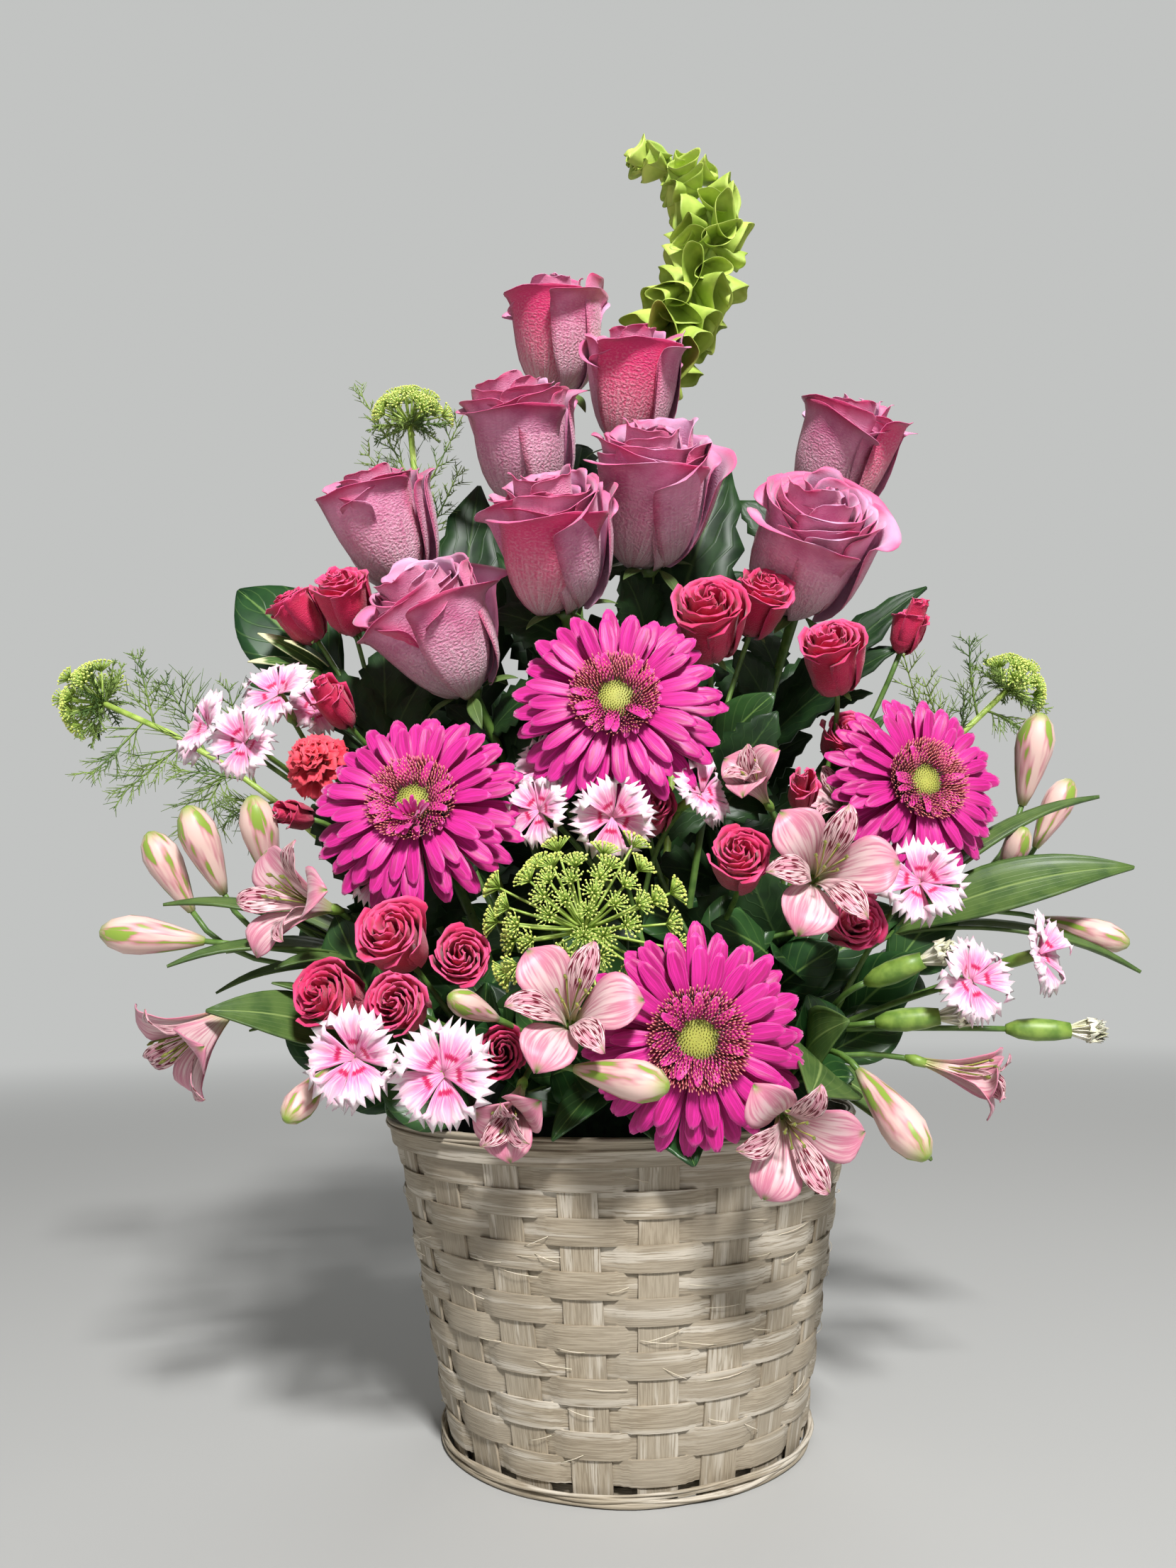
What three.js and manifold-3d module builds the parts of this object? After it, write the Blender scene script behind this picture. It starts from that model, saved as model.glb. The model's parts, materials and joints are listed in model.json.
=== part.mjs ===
// A one-sided flower arrangement in a woven splint basket, in millimetres, +Z up.
// The origin is the middle of the basket's foot, and the front of the arrangement looks along -Y.
import * as THREE from 'three';
import { mergeVertices } from 'three/addons/utils/BufferGeometryUtils.js';
import Module from 'manifold-3d';

const wasm = await Module();
wasm.setup();

// Driving dimensions of the basket and what it holds
const BASKET_HEIGHT = 150;
const FOOT_RADIUS = 86;
const RIM_RADIUS = 115;
const WALL = 5;
const STAKES = 20;
const WEAVER_ROWS = 13;
const STAKE_TURN = 7;            // degrees from the front to the first stake
const WEAVE_STEP = 2.2;          // how far a strip stands out where it passes over another
const BASE_THICKNESS = 5;
const FOOT_BAND = 5.7;           // height of the foot hoop
const SPLINT = 1.9;              // thickness of the hoops' splints
const RIM_BAND = 12;             // height of the rim's hoops
const LINER_WALL = 1.5;
const FOAM_TOP = 178;
const FOAM_RADIUS = 74;
const GAP = 0.3;                 // clearance between pieces that touch
const DEPTH_IN_FOAM = 28;        // how deep a stem is pushed in
const STEM_SIDES = 5;
const SPRAY_SIDES = 4;

const COLOURS = {
  splint: 0xd8cbb8,
  liner: 0x2f3a30,
  foam: 0x2e5b34,
  lavender: 0xc577a6,
  magenta: 0xd8209a,
  disc: 0xb02a5c,
  crimson: 0xc0164c,
  carnation: 0xd01c50,
  pale_pink: 0xe6b3c0,
  fringe_pink: 0xf3b9cf,
  lime: 0xa8c83c,
  stem: 0x6f8f3a,
  leaf: 0x2f5a2a,
};

const vec = (x, y, z) => new THREE.Vector3(x, y, z);
const radians = THREE.MathUtils.degToRad;
const TAU = 2 * Math.PI;

// A direction: turn is the compass angle from the front towards +X, lift the angle above level
function toward(turn, lift) {
  const t = radians(turn);
  const l = radians(lift);
  return vec(Math.sin(t) * Math.cos(l), -Math.cos(t) * Math.cos(l), Math.sin(l));
}

// The frame of a bloom: z along its axis, x to its right and y up, as seen by someone it faces
function frameAt(origin, axis, spin = 0) {
  const z = axis.clone().normalize();
  const x = vec(0, 0, 1).cross(z).normalize();
  const y = z.clone().cross(x);
  const matrix = new THREE.Matrix4().makeBasis(x, y, z).setPosition(origin);
  return matrix.multiply(new THREE.Matrix4().makeRotationZ(radians(spin)));
}

// Triangles between two loops that may have different numbers of points
function stitch(index, points, a, m, b, n) {
  let shift = 0;
  for (let j = 1; j < n && m !== n; j += 1) {
    if (points[b + j].distanceTo(points[a]) < points[b + shift].distanceTo(points[a])) shift = j;
  }
  let i = 0;
  let j = 0;
  while (i < m || j < n) {
    const here = a + (i % m);
    const there = b + ((shift + j) % n);
    if (j >= n || (i < m && (i + 1) / m < (j + 1) / n)) {
      index.push(here, a + ((i + 1) % m), there);
      i += 1;
    } else {
      index.push(here, b + ((shift + j + 1) % n), there);
      j += 1;
    }
  }
}

// Closed body through loops of points, each loop counter-clockwise seen from the far end.
// An end without a pole is closed flat.
function throughLoops(loops, nearPole = null, farPole = null) {
  const points = loops.flat();
  const index = [];
  let start = 0;
  for (let i = 0; i + 1 < loops.length; i += 1) {
    const next = start + loops[i].length;
    stitch(index, points, start, loops[i].length, next, loops[i + 1].length);
    start = next;
  }
  const near = nearPole ? points.push(nearPole) - 1 : 0;
  const far = farPole ? points.push(farPole) - 1 : start;
  for (let j = 0; j < loops[0].length; j += 1) {
    const k = (j + 1) % loops[0].length;
    if (j !== near && k !== near) index.push(near, k, j);
  }
  for (let j = 0; j < loops.at(-1).length; j += 1) {
    const k = (j + 1) % loops.at(-1).length;
    if (start + j !== far && start + k !== far) index.push(far, start + j, start + k);
  }
  return surfaceOf(points, index);
}

// Closed ring: the last loop joins the first. Each four-sided cell is split along one of its
// diagonals, from its first corner where lean says so
function aroundLoops(loops, lean) {
  const count = loops[0].length;
  const points = loops.flat();
  const index = [];
  for (let i = 0; i < loops.length; i += 1) {
    const here = i * count;
    const next = ((i + 1) % loops.length) * count;
    for (let j = 0; j < count; j += 1) {
      const k = (j + 1) % count;
      if (lean(i, j)) index.push(here + j, here + k, next + k, here + j, next + k, next + j);
      else index.push(here + j, here + k, next + j, here + k, next + k, next + j);
    }
  }
  return surfaceOf(points, index);
}

function surfaceOf(points, index) {
  const geometry = new THREE.BufferGeometry();
  const flat = points.flatMap((p) => [p.x, p.y, p.z]);
  geometry.setAttribute('position', new THREE.Float32BufferAttribute(flat, 3));
  geometry.setIndex(index);
  return geometry;
}

// One loop in a bloom's own frame, from a radius and a height that may change round it
function loop(count, radius, height, twist = 0) {
  const points = [];
  for (let j = 0; j < count; j += 1) {
    const angle = (TAU * (j + twist)) / count;
    const r = typeof radius === 'function' ? radius(j) : radius;
    const h = typeof height === 'function' ? height(j) : height;
    points.push(vec(r * Math.cos(angle), r * Math.sin(angle), h));
  }
  return points;
}

function solidOf(geometry) {
  const bare = geometry.clone();
  bare.deleteAttribute('normal');
  bare.deleteAttribute('uv');
  const merged = mergeVertices(bare, 1e-4);
  return new wasm.Manifold(new wasm.Mesh({
    numProp: 3,
    vertProperties: new Float32Array(merged.attributes.position.array),
    triVerts: new Uint32Array(merged.index.array),
  }));
}

function geometryOf(solid) {
  const mesh = solid.getMesh();
  const geometry = new THREE.BufferGeometry();
  geometry.setAttribute('position', new THREE.Float32BufferAttribute(mesh.vertProperties, 3));
  geometry.setIndex(Array.from(mesh.triVerts));
  return geometry;
}

// Edges shorter than this, in millimetres, are closed up where pieces meet at a slant
const SHORTEST_EDGE = 0.02;

function fuse(geometries) {
  return geometries.map(solidOf).reduce((sum, solid) => sum.add(solid)).simplify(SHORTEST_EDGE);
}

const arrangement = new THREE.Group();
arrangement.name = 'flower_basket';

function addPiece(name, colour, geometry, roughness = 0.7) {
  const material = new THREE.MeshStandardMaterial({ color: COLOURS[colour], roughness, metalness: 0 });
  const mesh = new THREE.Mesh(geometry, material);
  mesh.name = name;
  arrangement.add(mesh);
}

// Basket

const outerRadius = (z) => FOOT_RADIUS + ((RIM_RADIUS - FOOT_RADIUS) * z) / BASKET_HEIGHT;

// Plain weave in relief: at each stake a row stands out or in by turns, and halfway between
function basketWall() {
  const columns = 2 * STAKES;
  const rowHeight = BASKET_HEIGHT / WEAVER_ROWS;
  const ring = (z, inset) => {
    const points = [];
    for (let j = 0; j < columns; j += 1) {
      const angle = radians(STAKE_TURN) + (TAU * j) / columns - Math.PI / 2;
      const r = outerRadius(z) - inset(j);
      points.push(vec(r * Math.cos(angle), r * Math.sin(angle), z));
    }
    return points;
  };
  const standsOut = (stake, row) => (stake + row) % 2 === 0;
  const weave = (row) => (j) => {
    if (j % 2 === 1) return 0.5 * WEAVE_STEP;
    return standsOut(j / 2, row) ? 0 : WEAVE_STEP;
  };
  const loops = [ring(0, () => WEAVE_STEP)];
  for (let row = 0; row < WEAVER_ROWS; row += 1) {
    loops.push(ring((row + 0.5) * rowHeight, weave(row)));
  }
  loops.push(ring(BASKET_HEIGHT, () => WEAVE_STEP), ring(BASKET_HEIGHT, () => WALL), ring(0, () => WALL));
  return aroundLoops(loops, (i, j) => (j % 2 === 0) === standsOut(Math.floor((j + 1) / 2), i - 1));
}

function turned(profile, sides, turn = 0) {
  const outline = profile.map(([r, z]) => new THREE.Vector2(r, z));
  outline.push(outline[0].clone());
  const geometry = new THREE.LatheGeometry(outline, sides, radians(turn));
  geometry.rotateX(Math.PI / 2);
  return geometryOf(solidOf(geometry));
}

// Woven bottom: strips over and under each other in relief, inside the wall's foot
function basketBase() {
  const edge = FOOT_RADIUS - WALL - GAP;
  const sides = 24;
  const weave = (j) => (j % 2 === 0 ? BASE_THICKNESS : BASE_THICKNESS - 1);
  const unweave = (j) => (j % 2 === 1 ? BASE_THICKNESS : BASE_THICKNESS - 1);
  const loops = [
    loop(sides, edge, 0),
    loop(sides, edge, BASE_THICKNESS),
    loop(sides, 0.72 * edge, weave),
    loop(sides, 0.42 * edge, unweave),
  ];
  return throughLoops(loops, vec(0, 0, 0), vec(0, 0, BASE_THICKNESS));
}

// The thin hoop at the foot follows the wall's slope below its first row
function footHoop() {
  const low = FOOT_RADIUS - WEAVE_STEP + 1.2 * GAP;
  const high = outerRadius(FOOT_BAND) + 1.2 * GAP;
  return turned([
    [low, 0], [low + SPLINT, 0], [high + SPLINT, FOOT_BAND], [high, FOOT_BAND],
  ], 2 * STAKES, STAKE_TURN);
}

// The rim's hoop, a flat band round the wall's top edge
function rimHoop() {
  const low = BASKET_HEIGHT - RIM_BAND;
  const high = BASKET_HEIGHT + 1;
  return turned([
    [outerRadius(low) + GAP, low], [outerRadius(low) + SPLINT, low],
    [outerRadius(high) + SPLINT, high], [outerRadius(high) + GAP, high],
  ], 2 * STAKES, STAKE_TURN);
}

const linerRadius = (z) => outerRadius(z) - WALL - 3.2;

function linerCup() {
  const floor = BASE_THICKNESS + GAP;
  const top = BASKET_HEIGHT - 6;
  return turned([
    [0, floor], [linerRadius(floor) - 1, floor], [linerRadius(top), top],
    [linerRadius(top) - LINER_WALL, top],
    [linerRadius(floor) - 1 - LINER_WALL, floor + LINER_WALL], [0, floor + LINER_WALL],
  ], 24);
}

// Foam stands above the rim, with its shoulders cut away so that low stems can enter sideways
const FOAM_PROFILE = [
  [0, BASE_THICKNESS + GAP + LINER_WALL + GAP], [72, BASE_THICKNESS + GAP + LINER_WALL + GAP],
  [FOAM_RADIUS, 150], [FOAM_RADIUS - 10, 166], [FOAM_RADIUS - 34, FOAM_TOP], [0, FOAM_TOP],
];

function foamTopAt(r) {
  const [, , low, middle, high] = FOAM_PROFILE;
  if (r < high[0]) return FOAM_TOP;
  const [a, b] = r < middle[0] ? [high, middle] : [middle, low];
  return a[1] + ((r - a[0]) / (b[0] - a[0])) * (b[1] - a[1]);
}

// Stems and leaves

// Loops round a path, for a rod of changing radius
function rodLoops(path, radii, sides) {
  const stations = path.length;
  let side = null;
  return path.map((point, i) => {
    const along = path[Math.min(i + 1, stations - 1)].clone().sub(path[Math.max(i - 1, 0)]).normalize();
    if (!side) side = Math.abs(along.z) < 0.9 ? vec(0, 0, 1) : vec(1, 0, 0);
    side = side.clone().addScaledVector(along, -side.dot(along)).normalize();
    const across = along.clone().cross(side);
    const ringPoints = [];
    for (let j = 0; j < sides; j += 1) {
      const angle = (TAU * j) / sides;
      ringPoints.push(point.clone()
        .addScaledVector(side, radii[i] * Math.cos(angle))
        .addScaledVector(across, radii[i] * Math.sin(angle)));
    }
    return ringPoints;
  });
}

function rod(path, radii, sides = STEM_SIDES) {
  return throughLoops(rodLoops(path, radii, sides));
}

// A three-sided needle from a thick root to a point
function needle(root, tip, radius) {
  return throughLoops(rodLoops([root, tip], [radius, radius], 3).slice(0, 1), null, tip.clone());
}

// A stem that widens at its end, where branches start
function forkedStem(path, radius, sides, flare) {
  const end = path.at(-1);
  const along = end.clone().sub(path.at(-2)).normalize();
  const stations = [...path.slice(0, -1), end.clone().addScaledVector(along, -6), end];
  const radii = stations.map((p, i) => (i + 1 < stations.length ? radius : flare));
  return rod(stations, radii, sides);
}

// A leaf blade as a thin arched body: steps lists [place along it, half width as a share]
const LEAF_OUTLINES = {
  lance: [[0.12, 0.25], [0.45, 1], [0.75, 0.7]],
  oval: [[0.14, 0.3], [0.42, 1], [0.78, 0.8]],
  saw: [[0.12, 0.2], [0.34, 0.95], [0.42, 0.76], [0.62, 0.96], [0.7, 0.68]],
};

function leaf(root, tip, width, { shape = 'lance', rise = 0.15, up = vec(0, 0, 1), thick = 0.9 } = {}) {
  const line = tip.clone().sub(root);
  const length = line.length();
  const along = line.clone().normalize();
  const face = up.clone().addScaledVector(along, -up.dot(along)).normalize();
  const across = along.clone().cross(face);
  const midrib = (s) => root.clone()
    .addScaledVector(line, s)
    .addScaledVector(face, rise * length * 4 * s * (1 - s));
  const loops = LEAF_OUTLINES[shape].map(([s, share]) => {
    const half = (share * width) / 2;
    const middle = midrib(s);
    const edge = middle.clone().addScaledVector(face, 0.12 * half);
    return [
      edge.clone().addScaledVector(across, half),
      middle.clone().addScaledVector(face, -thick),
      edge.clone().addScaledVector(across, -half),
      middle.clone().addScaledVector(face, thick * 0.4),
    ];
  });
  return throughLoops(loops, root.clone(), tip.clone());
}

// Where a stem bound for a point leaves the foam: near the middle for a high one, at the shoulder
// for a low one, so that the stems fan out without crossing
function entryFor(target, shift = 0) {
  const reach = Math.hypot(target.x, target.y);
  const climb = Math.max(target.z - 150, 1);
  const r = 60 * Math.min(1, (1.25 * reach) / climb);
  const angle = Math.atan2(target.y, target.x) + radians(shift);
  return vec(r * Math.cos(angle), r * Math.sin(angle), foamTopAt(r));
}

const foamHoles = [];

// The curve of a stem from the foam to a seat that it meets along an axis, and its hole
function stemPath(seat, axis, radius, { shift = 0, bend = 0.4, steps = 3, sides = STEM_SIDES } = {}) {
  const out = axis.clone().normalize();
  const rough = entryFor(seat, shift);
  const reach = seat.distanceTo(rough) * bend;
  const control = seat.clone().addScaledVector(out, -reach);
  const entry = entryFor(control, shift);
  const into = control.clone().sub(entry).normalize();
  const inner = entry.clone().addScaledVector(into, -DEPTH_IN_FOAM);
  const surface = entry.clone().addScaledVector(into, 6);
  const middle = surface.clone().addScaledVector(into, control.distanceTo(surface) * 0.5);
  const curve = new THREE.CubicBezierCurve3(surface, middle, control, seat.clone());
  foamHoles.push(rod([
    inner.clone().addScaledVector(into, -GAP),
    entry.clone().addScaledVector(into, 14),
  ], [radius + GAP, radius + GAP], sides));
  return [inner, ...curve.getPoints(steps)];
}

// The point at a share of the way along a path of straight pieces
function pathAt(path, share) {
  const line = new THREE.CurvePath();
  path.slice(1).forEach((point, i) => line.add(new THREE.LineCurve3(path[i], point)));
  return line.getPointAt(share);
}

// Blooms, each in its own frame with its seat at the origin

// Petals in a ring overlap like roof tiles: a step outwards from one edge of a petal to the other
const overlap = (petal, shift = 0) => (j) => ((j + shift) % petal) / petal - 0.5;
// Rises to the middle of each petal and falls to its edges
const crown = (petal, shift = 0) => (j) => Math.sin((Math.PI * (((j + shift) % petal) + 0.5)) / petal);

function roseBloom(width, height) {
  const R = width / 2;
  const H = height;
  const count = 15;
  const outer = overlap(5);
  const outerCrown = crown(5);
  const next = overlap(5, 3);
  const nextCrown = crown(5, 3);
  const heart = overlap(5, 1);
  const loops = [
    loop(count, 0.17 * R, 0),
    loop(count, (j) => R * (0.6 + 0.05 * outer(j)), 0.12 * H),
    loop(count, (j) => R * (0.82 + 0.08 * outer(j)), 0.46 * H),
    loop(count, (j) => R * (0.84 + 0.26 * outerCrown(j)), (j) => H * (0.78 + 0.08 * outerCrown(j))),
    loop(count, (j) => R * (0.74 + 0.06 * outer(j)), (j) => H * (0.86 + 0.09 * outerCrown(j))),
    loop(count, (j) => R * (0.56 + 0.12 * next(j)), (j) => H * (0.9 + 0.09 * nextCrown(j))),
    loop(count, (j) => R * (0.36 + 0.06 * next(j)), 0.86 * H),
    loop(count, (j) => R * (0.24 + 0.16 * heart(j)), (j) => H * (0.95 + 0.04 * nextCrown(j))),
  ];
  return throughLoops(loops, null, vec(0, 0, 0.9 * H));
}

const RAYS = 17;
const RAY_POINTS = 4;

// One edge of a ring of rays: notch, shoulder, tip, shoulder, with the rays of uneven length
function rayEdge(notch, tip, height, droop, phase) {
  const points = [];
  for (let i = 0; i < RAYS; i += 1) {
    const uneven = 1 + 0.05 * Math.sin(2.3 * i + phase * 9);
    const lift = 0.7 * Math.sin(3.1 * i + phase * 5);
    const stops = [
      [0, notch, height],
      [0.22, 0.84 * tip * uneven, height - 0.6 * droop + lift],
      [0.5, tip * uneven, height - droop + lift],
      [0.78, 0.84 * tip * uneven, height - 0.6 * droop + lift],
    ];
    stops.forEach(([share, r, h]) => {
      const angle = (TAU * (i + share + phase)) / RAYS;
      points.push(vec(r * Math.cos(angle), r * Math.sin(angle), h));
    });
  }
  return points;
}

function gerberaRays(width) {
  const R = width / 2;
  const count = RAYS * RAY_POINTS;
  const loops = [
    rayEdge(0.46 * R, R, 0, 3, 0),
    loop(count / 2, 0.4 * R, 1.8),
    rayEdge(0.44 * R, 0.86 * R, 3.4, 0.4, 0.5),
  ];
  return throughLoops(loops, vec(0, 0, -4), vec(0, 0, 4));
}

// The disc: a rough ring of small florets round a lower green eye
function gerberaDisc(width) {
  const R = width / 2;
  const count = 14;
  const rough = (high, low) => (j) => (j % 2 === 0 ? high : low);
  const loops = [
    loop(count, 0.86 * R, 0),
    loop(count, rough(R, 0.88 * R), rough(3.4, 2.2)),
    loop(count, rough(0.62 * R, 0.7 * R), rough(4.4, 5.4), 0.5),
    loop(count, 0.3 * R, rough(3.2, 3.8)),
  ];
  return throughLoops(loops, null, vec(0, 0, 3));
}

// Heads that grow on a twig: each gives loops that carry the twig's own loops on, and a far pole

function smallRose(width) {
  const R = width / 2;
  const H = 0.95 * width;
  const count = 9;
  const tiles = overlap(3);
  const tops = crown(3, 1);
  const loops = [
    loop(count, (j) => R * (0.94 + 0.14 * tiles(j)), (j) => H * (0.56 + 0.14 * tops(j))),
    loop(count, 0.64 * R, (j) => H * (0.76 + 0.06 * tops(j))),
    loop(count, (j) => R * (0.5 + 0.12 * tiles(j)), (j) => H * (0.92 + 0.08 * tops(j))),
  ];
  return { loops, pole: vec(0, 0, 0.8 * H) };
}

// A closed bud or a calyx, widest at the given share of its length
function closedBud(width, length, belly) {
  const sides = 5;
  const loops = [loop(sides, 0.5 * width, belly * length), loop(sides, 0.32 * width, 0.78 * length, 0.5)];
  return { loops, pole: vec(0, 0, length) };
}

// A flat flower of five petals, each a notch and a fringe of teeth
function fringedFlower(width) {
  const R = width / 2;
  const petals = 5;
  const teeth = [[0, 0.34], [0.2, 0.93], [0.37, 0.84], [0.56, 1], [0.8, 0.92]];
  const edge = [];
  for (let i = 0; i < petals; i += 1) {
    teeth.forEach(([share, r], k) => {
      const angle = (TAU * (i + share)) / petals;
      const h = 5 + (k === 0 ? 0 : 1.6 * Math.sin(TAU * share + i));
      edge.push(vec(R * r * Math.cos(angle), R * r * Math.sin(angle), h));
    });
  }
  return { loops: [edge], pole: vec(0, 0, 4.2) };
}

// A lily-like funnel of six tepals, broad and narrow by turns
function funnelFlower(width) {
  const R = width / 2;
  const depth = 0.62 * width;
  const edge = [];
  for (let i = 0; i < 6; i += 1) {
    const broad = i % 2 === 0;
    const shoulder = broad ? 0.82 : 0.72;
    const spread = broad ? 0.28 : 0.18;
    const stops = [[0, 0.42], [0.5 - spread, shoulder], [0.5, broad ? 1 : 0.94], [0.5 + spread, shoulder]];
    stops.forEach(([share, out]) => {
      const angle = (TAU * (i + share)) / 6;
      const h = depth * (0.62 + 0.38 * out) + (broad ? 0 : 2);
      edge.push(vec(R * out * Math.cos(angle), R * out * Math.sin(angle), h));
    });
  }
  return { loops: [loop(6, 0.24 * R, 0.42 * depth), edge], pole: vec(0, 0, 0.5 * depth) };
}

function ruffledBall(width) {
  const R = width / 2;
  const count = 10;
  const jag = (a, b) => (j) => (j % 2 === 0 ? a : b);
  const loops = [
    loop(count, jag(0.5 * R, 0.4 * R), 0.3 * R),
    loop(count, jag(1.05 * R, 0.8 * R), jag(0.75 * R, 0.9 * R)),
    loop(count, jag(0.66 * R, 0.8 * R), jag(1.1 * R, 1.3 * R), 0.5),
    loop(count, jag(0.62 * R, 0.4 * R), jag(1.62 * R, 1.4 * R)),
  ];
  return { loops, pole: vec(0, 0, 1.5 * R) };
}

function bellCup(width) {
  const depth = 0.6 * width;
  const wave = (j) => (j % 2 === 0 ? 1.5 : -1.5);
  const girth = (j) => width * (j % 2 === 0 ? 0.52 : 0.42);
  const throat = loop(6, 0.2 * width, 0.36 * depth);
  const rim = loop(6, girth, (j) => depth + wave(j));
  const inside = loop(6, (j) => 0.84 * girth(j), (j) => depth + wave(j) - 0.2);
  return throughLoops([loop(3, 1.4, 0), throat, rim, inside], null, vec(0, 0, 0.66 * depth));
}

// A cluster of tiny florets at the tip of an umbel's ray
function floretKnot(radius) {
  const count = 6;
  const star = loop(count, (j) => radius * (j % 2 === 0 ? 1 : 0.6), (j) => (j % 2 === 0 ? 1.6 : 3));
  return { loops: [star], pole: vec(0, 0, 3.4) };
}

// A twig and the head at its end as one body
function twigWithHead(path, radius, sides, head, frame) {
  const loops = rodLoops(path, path.map(() => radius), sides);
  head.loops.forEach((ringPoints) => loops.push(ringPoints.map((p) => p.applyMatrix4(frame))));
  return throughLoops(loops, null, head.pole.applyMatrix4(frame));
}

function placed(geometry, seat, axis, spin) {
  return geometry.applyMatrix4(frameAt(seat, axis, spin));
}

// Lavender roses: centre of each goblet, which way it opens, and its size
const ROSE_WIDTH = 62;
const ROSE_HEIGHT = 66;
const ROSES = [
  { at: [-25, 38, 609], turn: -6, lift: 62 },
  { at: [17, 4, 553], turn: 6, lift: 58 },
  { at: [-45, -8, 514], turn: -18, lift: 58 },
  { at: [25, -42, 463], turn: 6, lift: 52, size: 1.08, leaves: [[0.66, [82, 10, 494], 36]] },
  { at: [-27, -66, 428], turn: -12, lift: 52, leaves: [[0.72, [-62, -2, 452], 24]] },
  { at: [-120, -15, 461], turn: -22, lift: 60, leaves: [[0.66, [-74, 20, 503], 36]] },
  { at: [-85, -55, 387], turn: -35, lift: 48, leaves: [[0.62, [-52, -26, 336], 26]] },
  { at: [141, 14, 512], turn: 28, lift: 56, leaves: [[0.6, [186, 22, 436], 28]] },
  { at: [107, -38, 433], turn: 10, lift: 38, size: 1.06, leaves: [[0.7, [154, -20, 386], 28]] },
];

const up = (list) => vec(...list);

function sepals(seat, axis, spin, length) {
  const frame = frameAt(seat, axis, spin);
  const blades = [];
  for (let i = 0; i < 5; i += 1) {
    const angle = (TAU * i) / 5;
    const curl = length * (0.2 + 0.2 * ((i * 2) % 3));
    const root = vec(1.2 * Math.cos(angle), 1.2 * Math.sin(angle), -3).applyMatrix4(frame);
    const tip = vec(length * Math.cos(angle), length * Math.sin(angle), -4 - curl).applyMatrix4(frame);
    blades.push(needle(root, tip, 1.3));
  }
  return blades;
}

function addRose(number, { at, turn, lift, size = 1, leaves = [], shift = 0 }) {
  const axis = toward(turn, lift);
  const height = ROSE_HEIGHT * size;
  const base = up(at).addScaledVector(axis, -0.5 * height);
  const goblet = roseBloom(ROSE_WIDTH * size, height);
  addPiece(`rose_${number}_bloom`, 'lavender', placed(goblet, base, axis, 40 * number));
  const seat = base.clone().addScaledVector(axis, -GAP);
  const neck = seat.clone().addScaledVector(axis, -5);
  const path = stemPath(neck, axis, 2.4, { shift });
  const radii = path.map(() => 2.4);
  const stem = rod([...path, seat], [...radii.slice(0, -1), 3, 5.4]);
  const blades = leaves.map(([share, tip, width]) => {
    const root = pathAt(path, share);
    return leaf(root, up(tip), width, { shape: 'saw', up: vec(0, -1, 0.5) });
  });
  addPiece(`rose_${number}_stem`, 'stem', geometryOf(fuse([stem, ...sepals(seat, axis, 15, 17), ...blades])));
}

ROSES.forEach((rose, i) => addRose(i + 1, rose));

// Gerberas: the middle of each disc and which way it looks
const GERBERA_DISC = 40;
const GERBERAS = [
  { at: [0, -105, 340], turn: -4, lift: 10, width: 100 },
  { at: [-91, -105, 294], turn: -6, lift: 14, width: 96, shift: 14 },
  { at: [151, -60, 307], turn: 12, lift: 5, width: 92 },
  { at: [28, -146, 191], turn: 0, lift: 0, width: 90 },
];

GERBERAS.forEach(({ at, turn, lift, width, shift = 0 }, i) => {
  const axis = toward(turn, lift);
  const front = up(at);
  const rays = front.clone().addScaledVector(axis, -6);
  const back = rays.clone().addScaledVector(axis, -4 - GAP);
  addPiece(`gerbera_${i + 1}_rays`, 'magenta', placed(gerberaRays(width), rays, axis, 20 * i));
  const seat = rays.clone().addScaledVector(axis, 4 + 2 * GAP);
  addPiece(`gerbera_${i + 1}_disc`, 'disc', placed(gerberaDisc(GERBERA_DISC), seat, axis, 0));
  const neck = back.clone().addScaledVector(axis, -7);
  const path = stemPath(neck, axis, 2.6, { shift, bend: 0.5 });
  const radii = path.map(() => 2.6);
  addPiece(`gerbera_${i + 1}_stem`, 'stem', rod([...path, back], [...radii.slice(0, -1), 3.5, 8]));
});

// Sprays: a stem that forks into several heads, buds and leaves

const HEADS = {
  rose: (w) => smallRose(w),
  rosebud: (w) => closedBud(w, 1.5 * w, 0.4),
  carnation: (w) => ruffledBall(w),
  pink: (w) => fringedFlower(w),
  calyx: (w) => closedBud(w, 3.4 * w, 0.3),
  lily: (w) => funnelFlower(w),
  lilybud: (w) => closedBud(w, 2.3 * w, 0.6),
};
// How far the seat lies behind the middle of a head, as a share of its width
const SEAT_BEHIND = {
  rose: 0.45, rosebud: 0.7, carnation: 0.75, pink: 0.12, calyx: 1.7, lily: 0.5, lilybud: 1.1,
};

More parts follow.
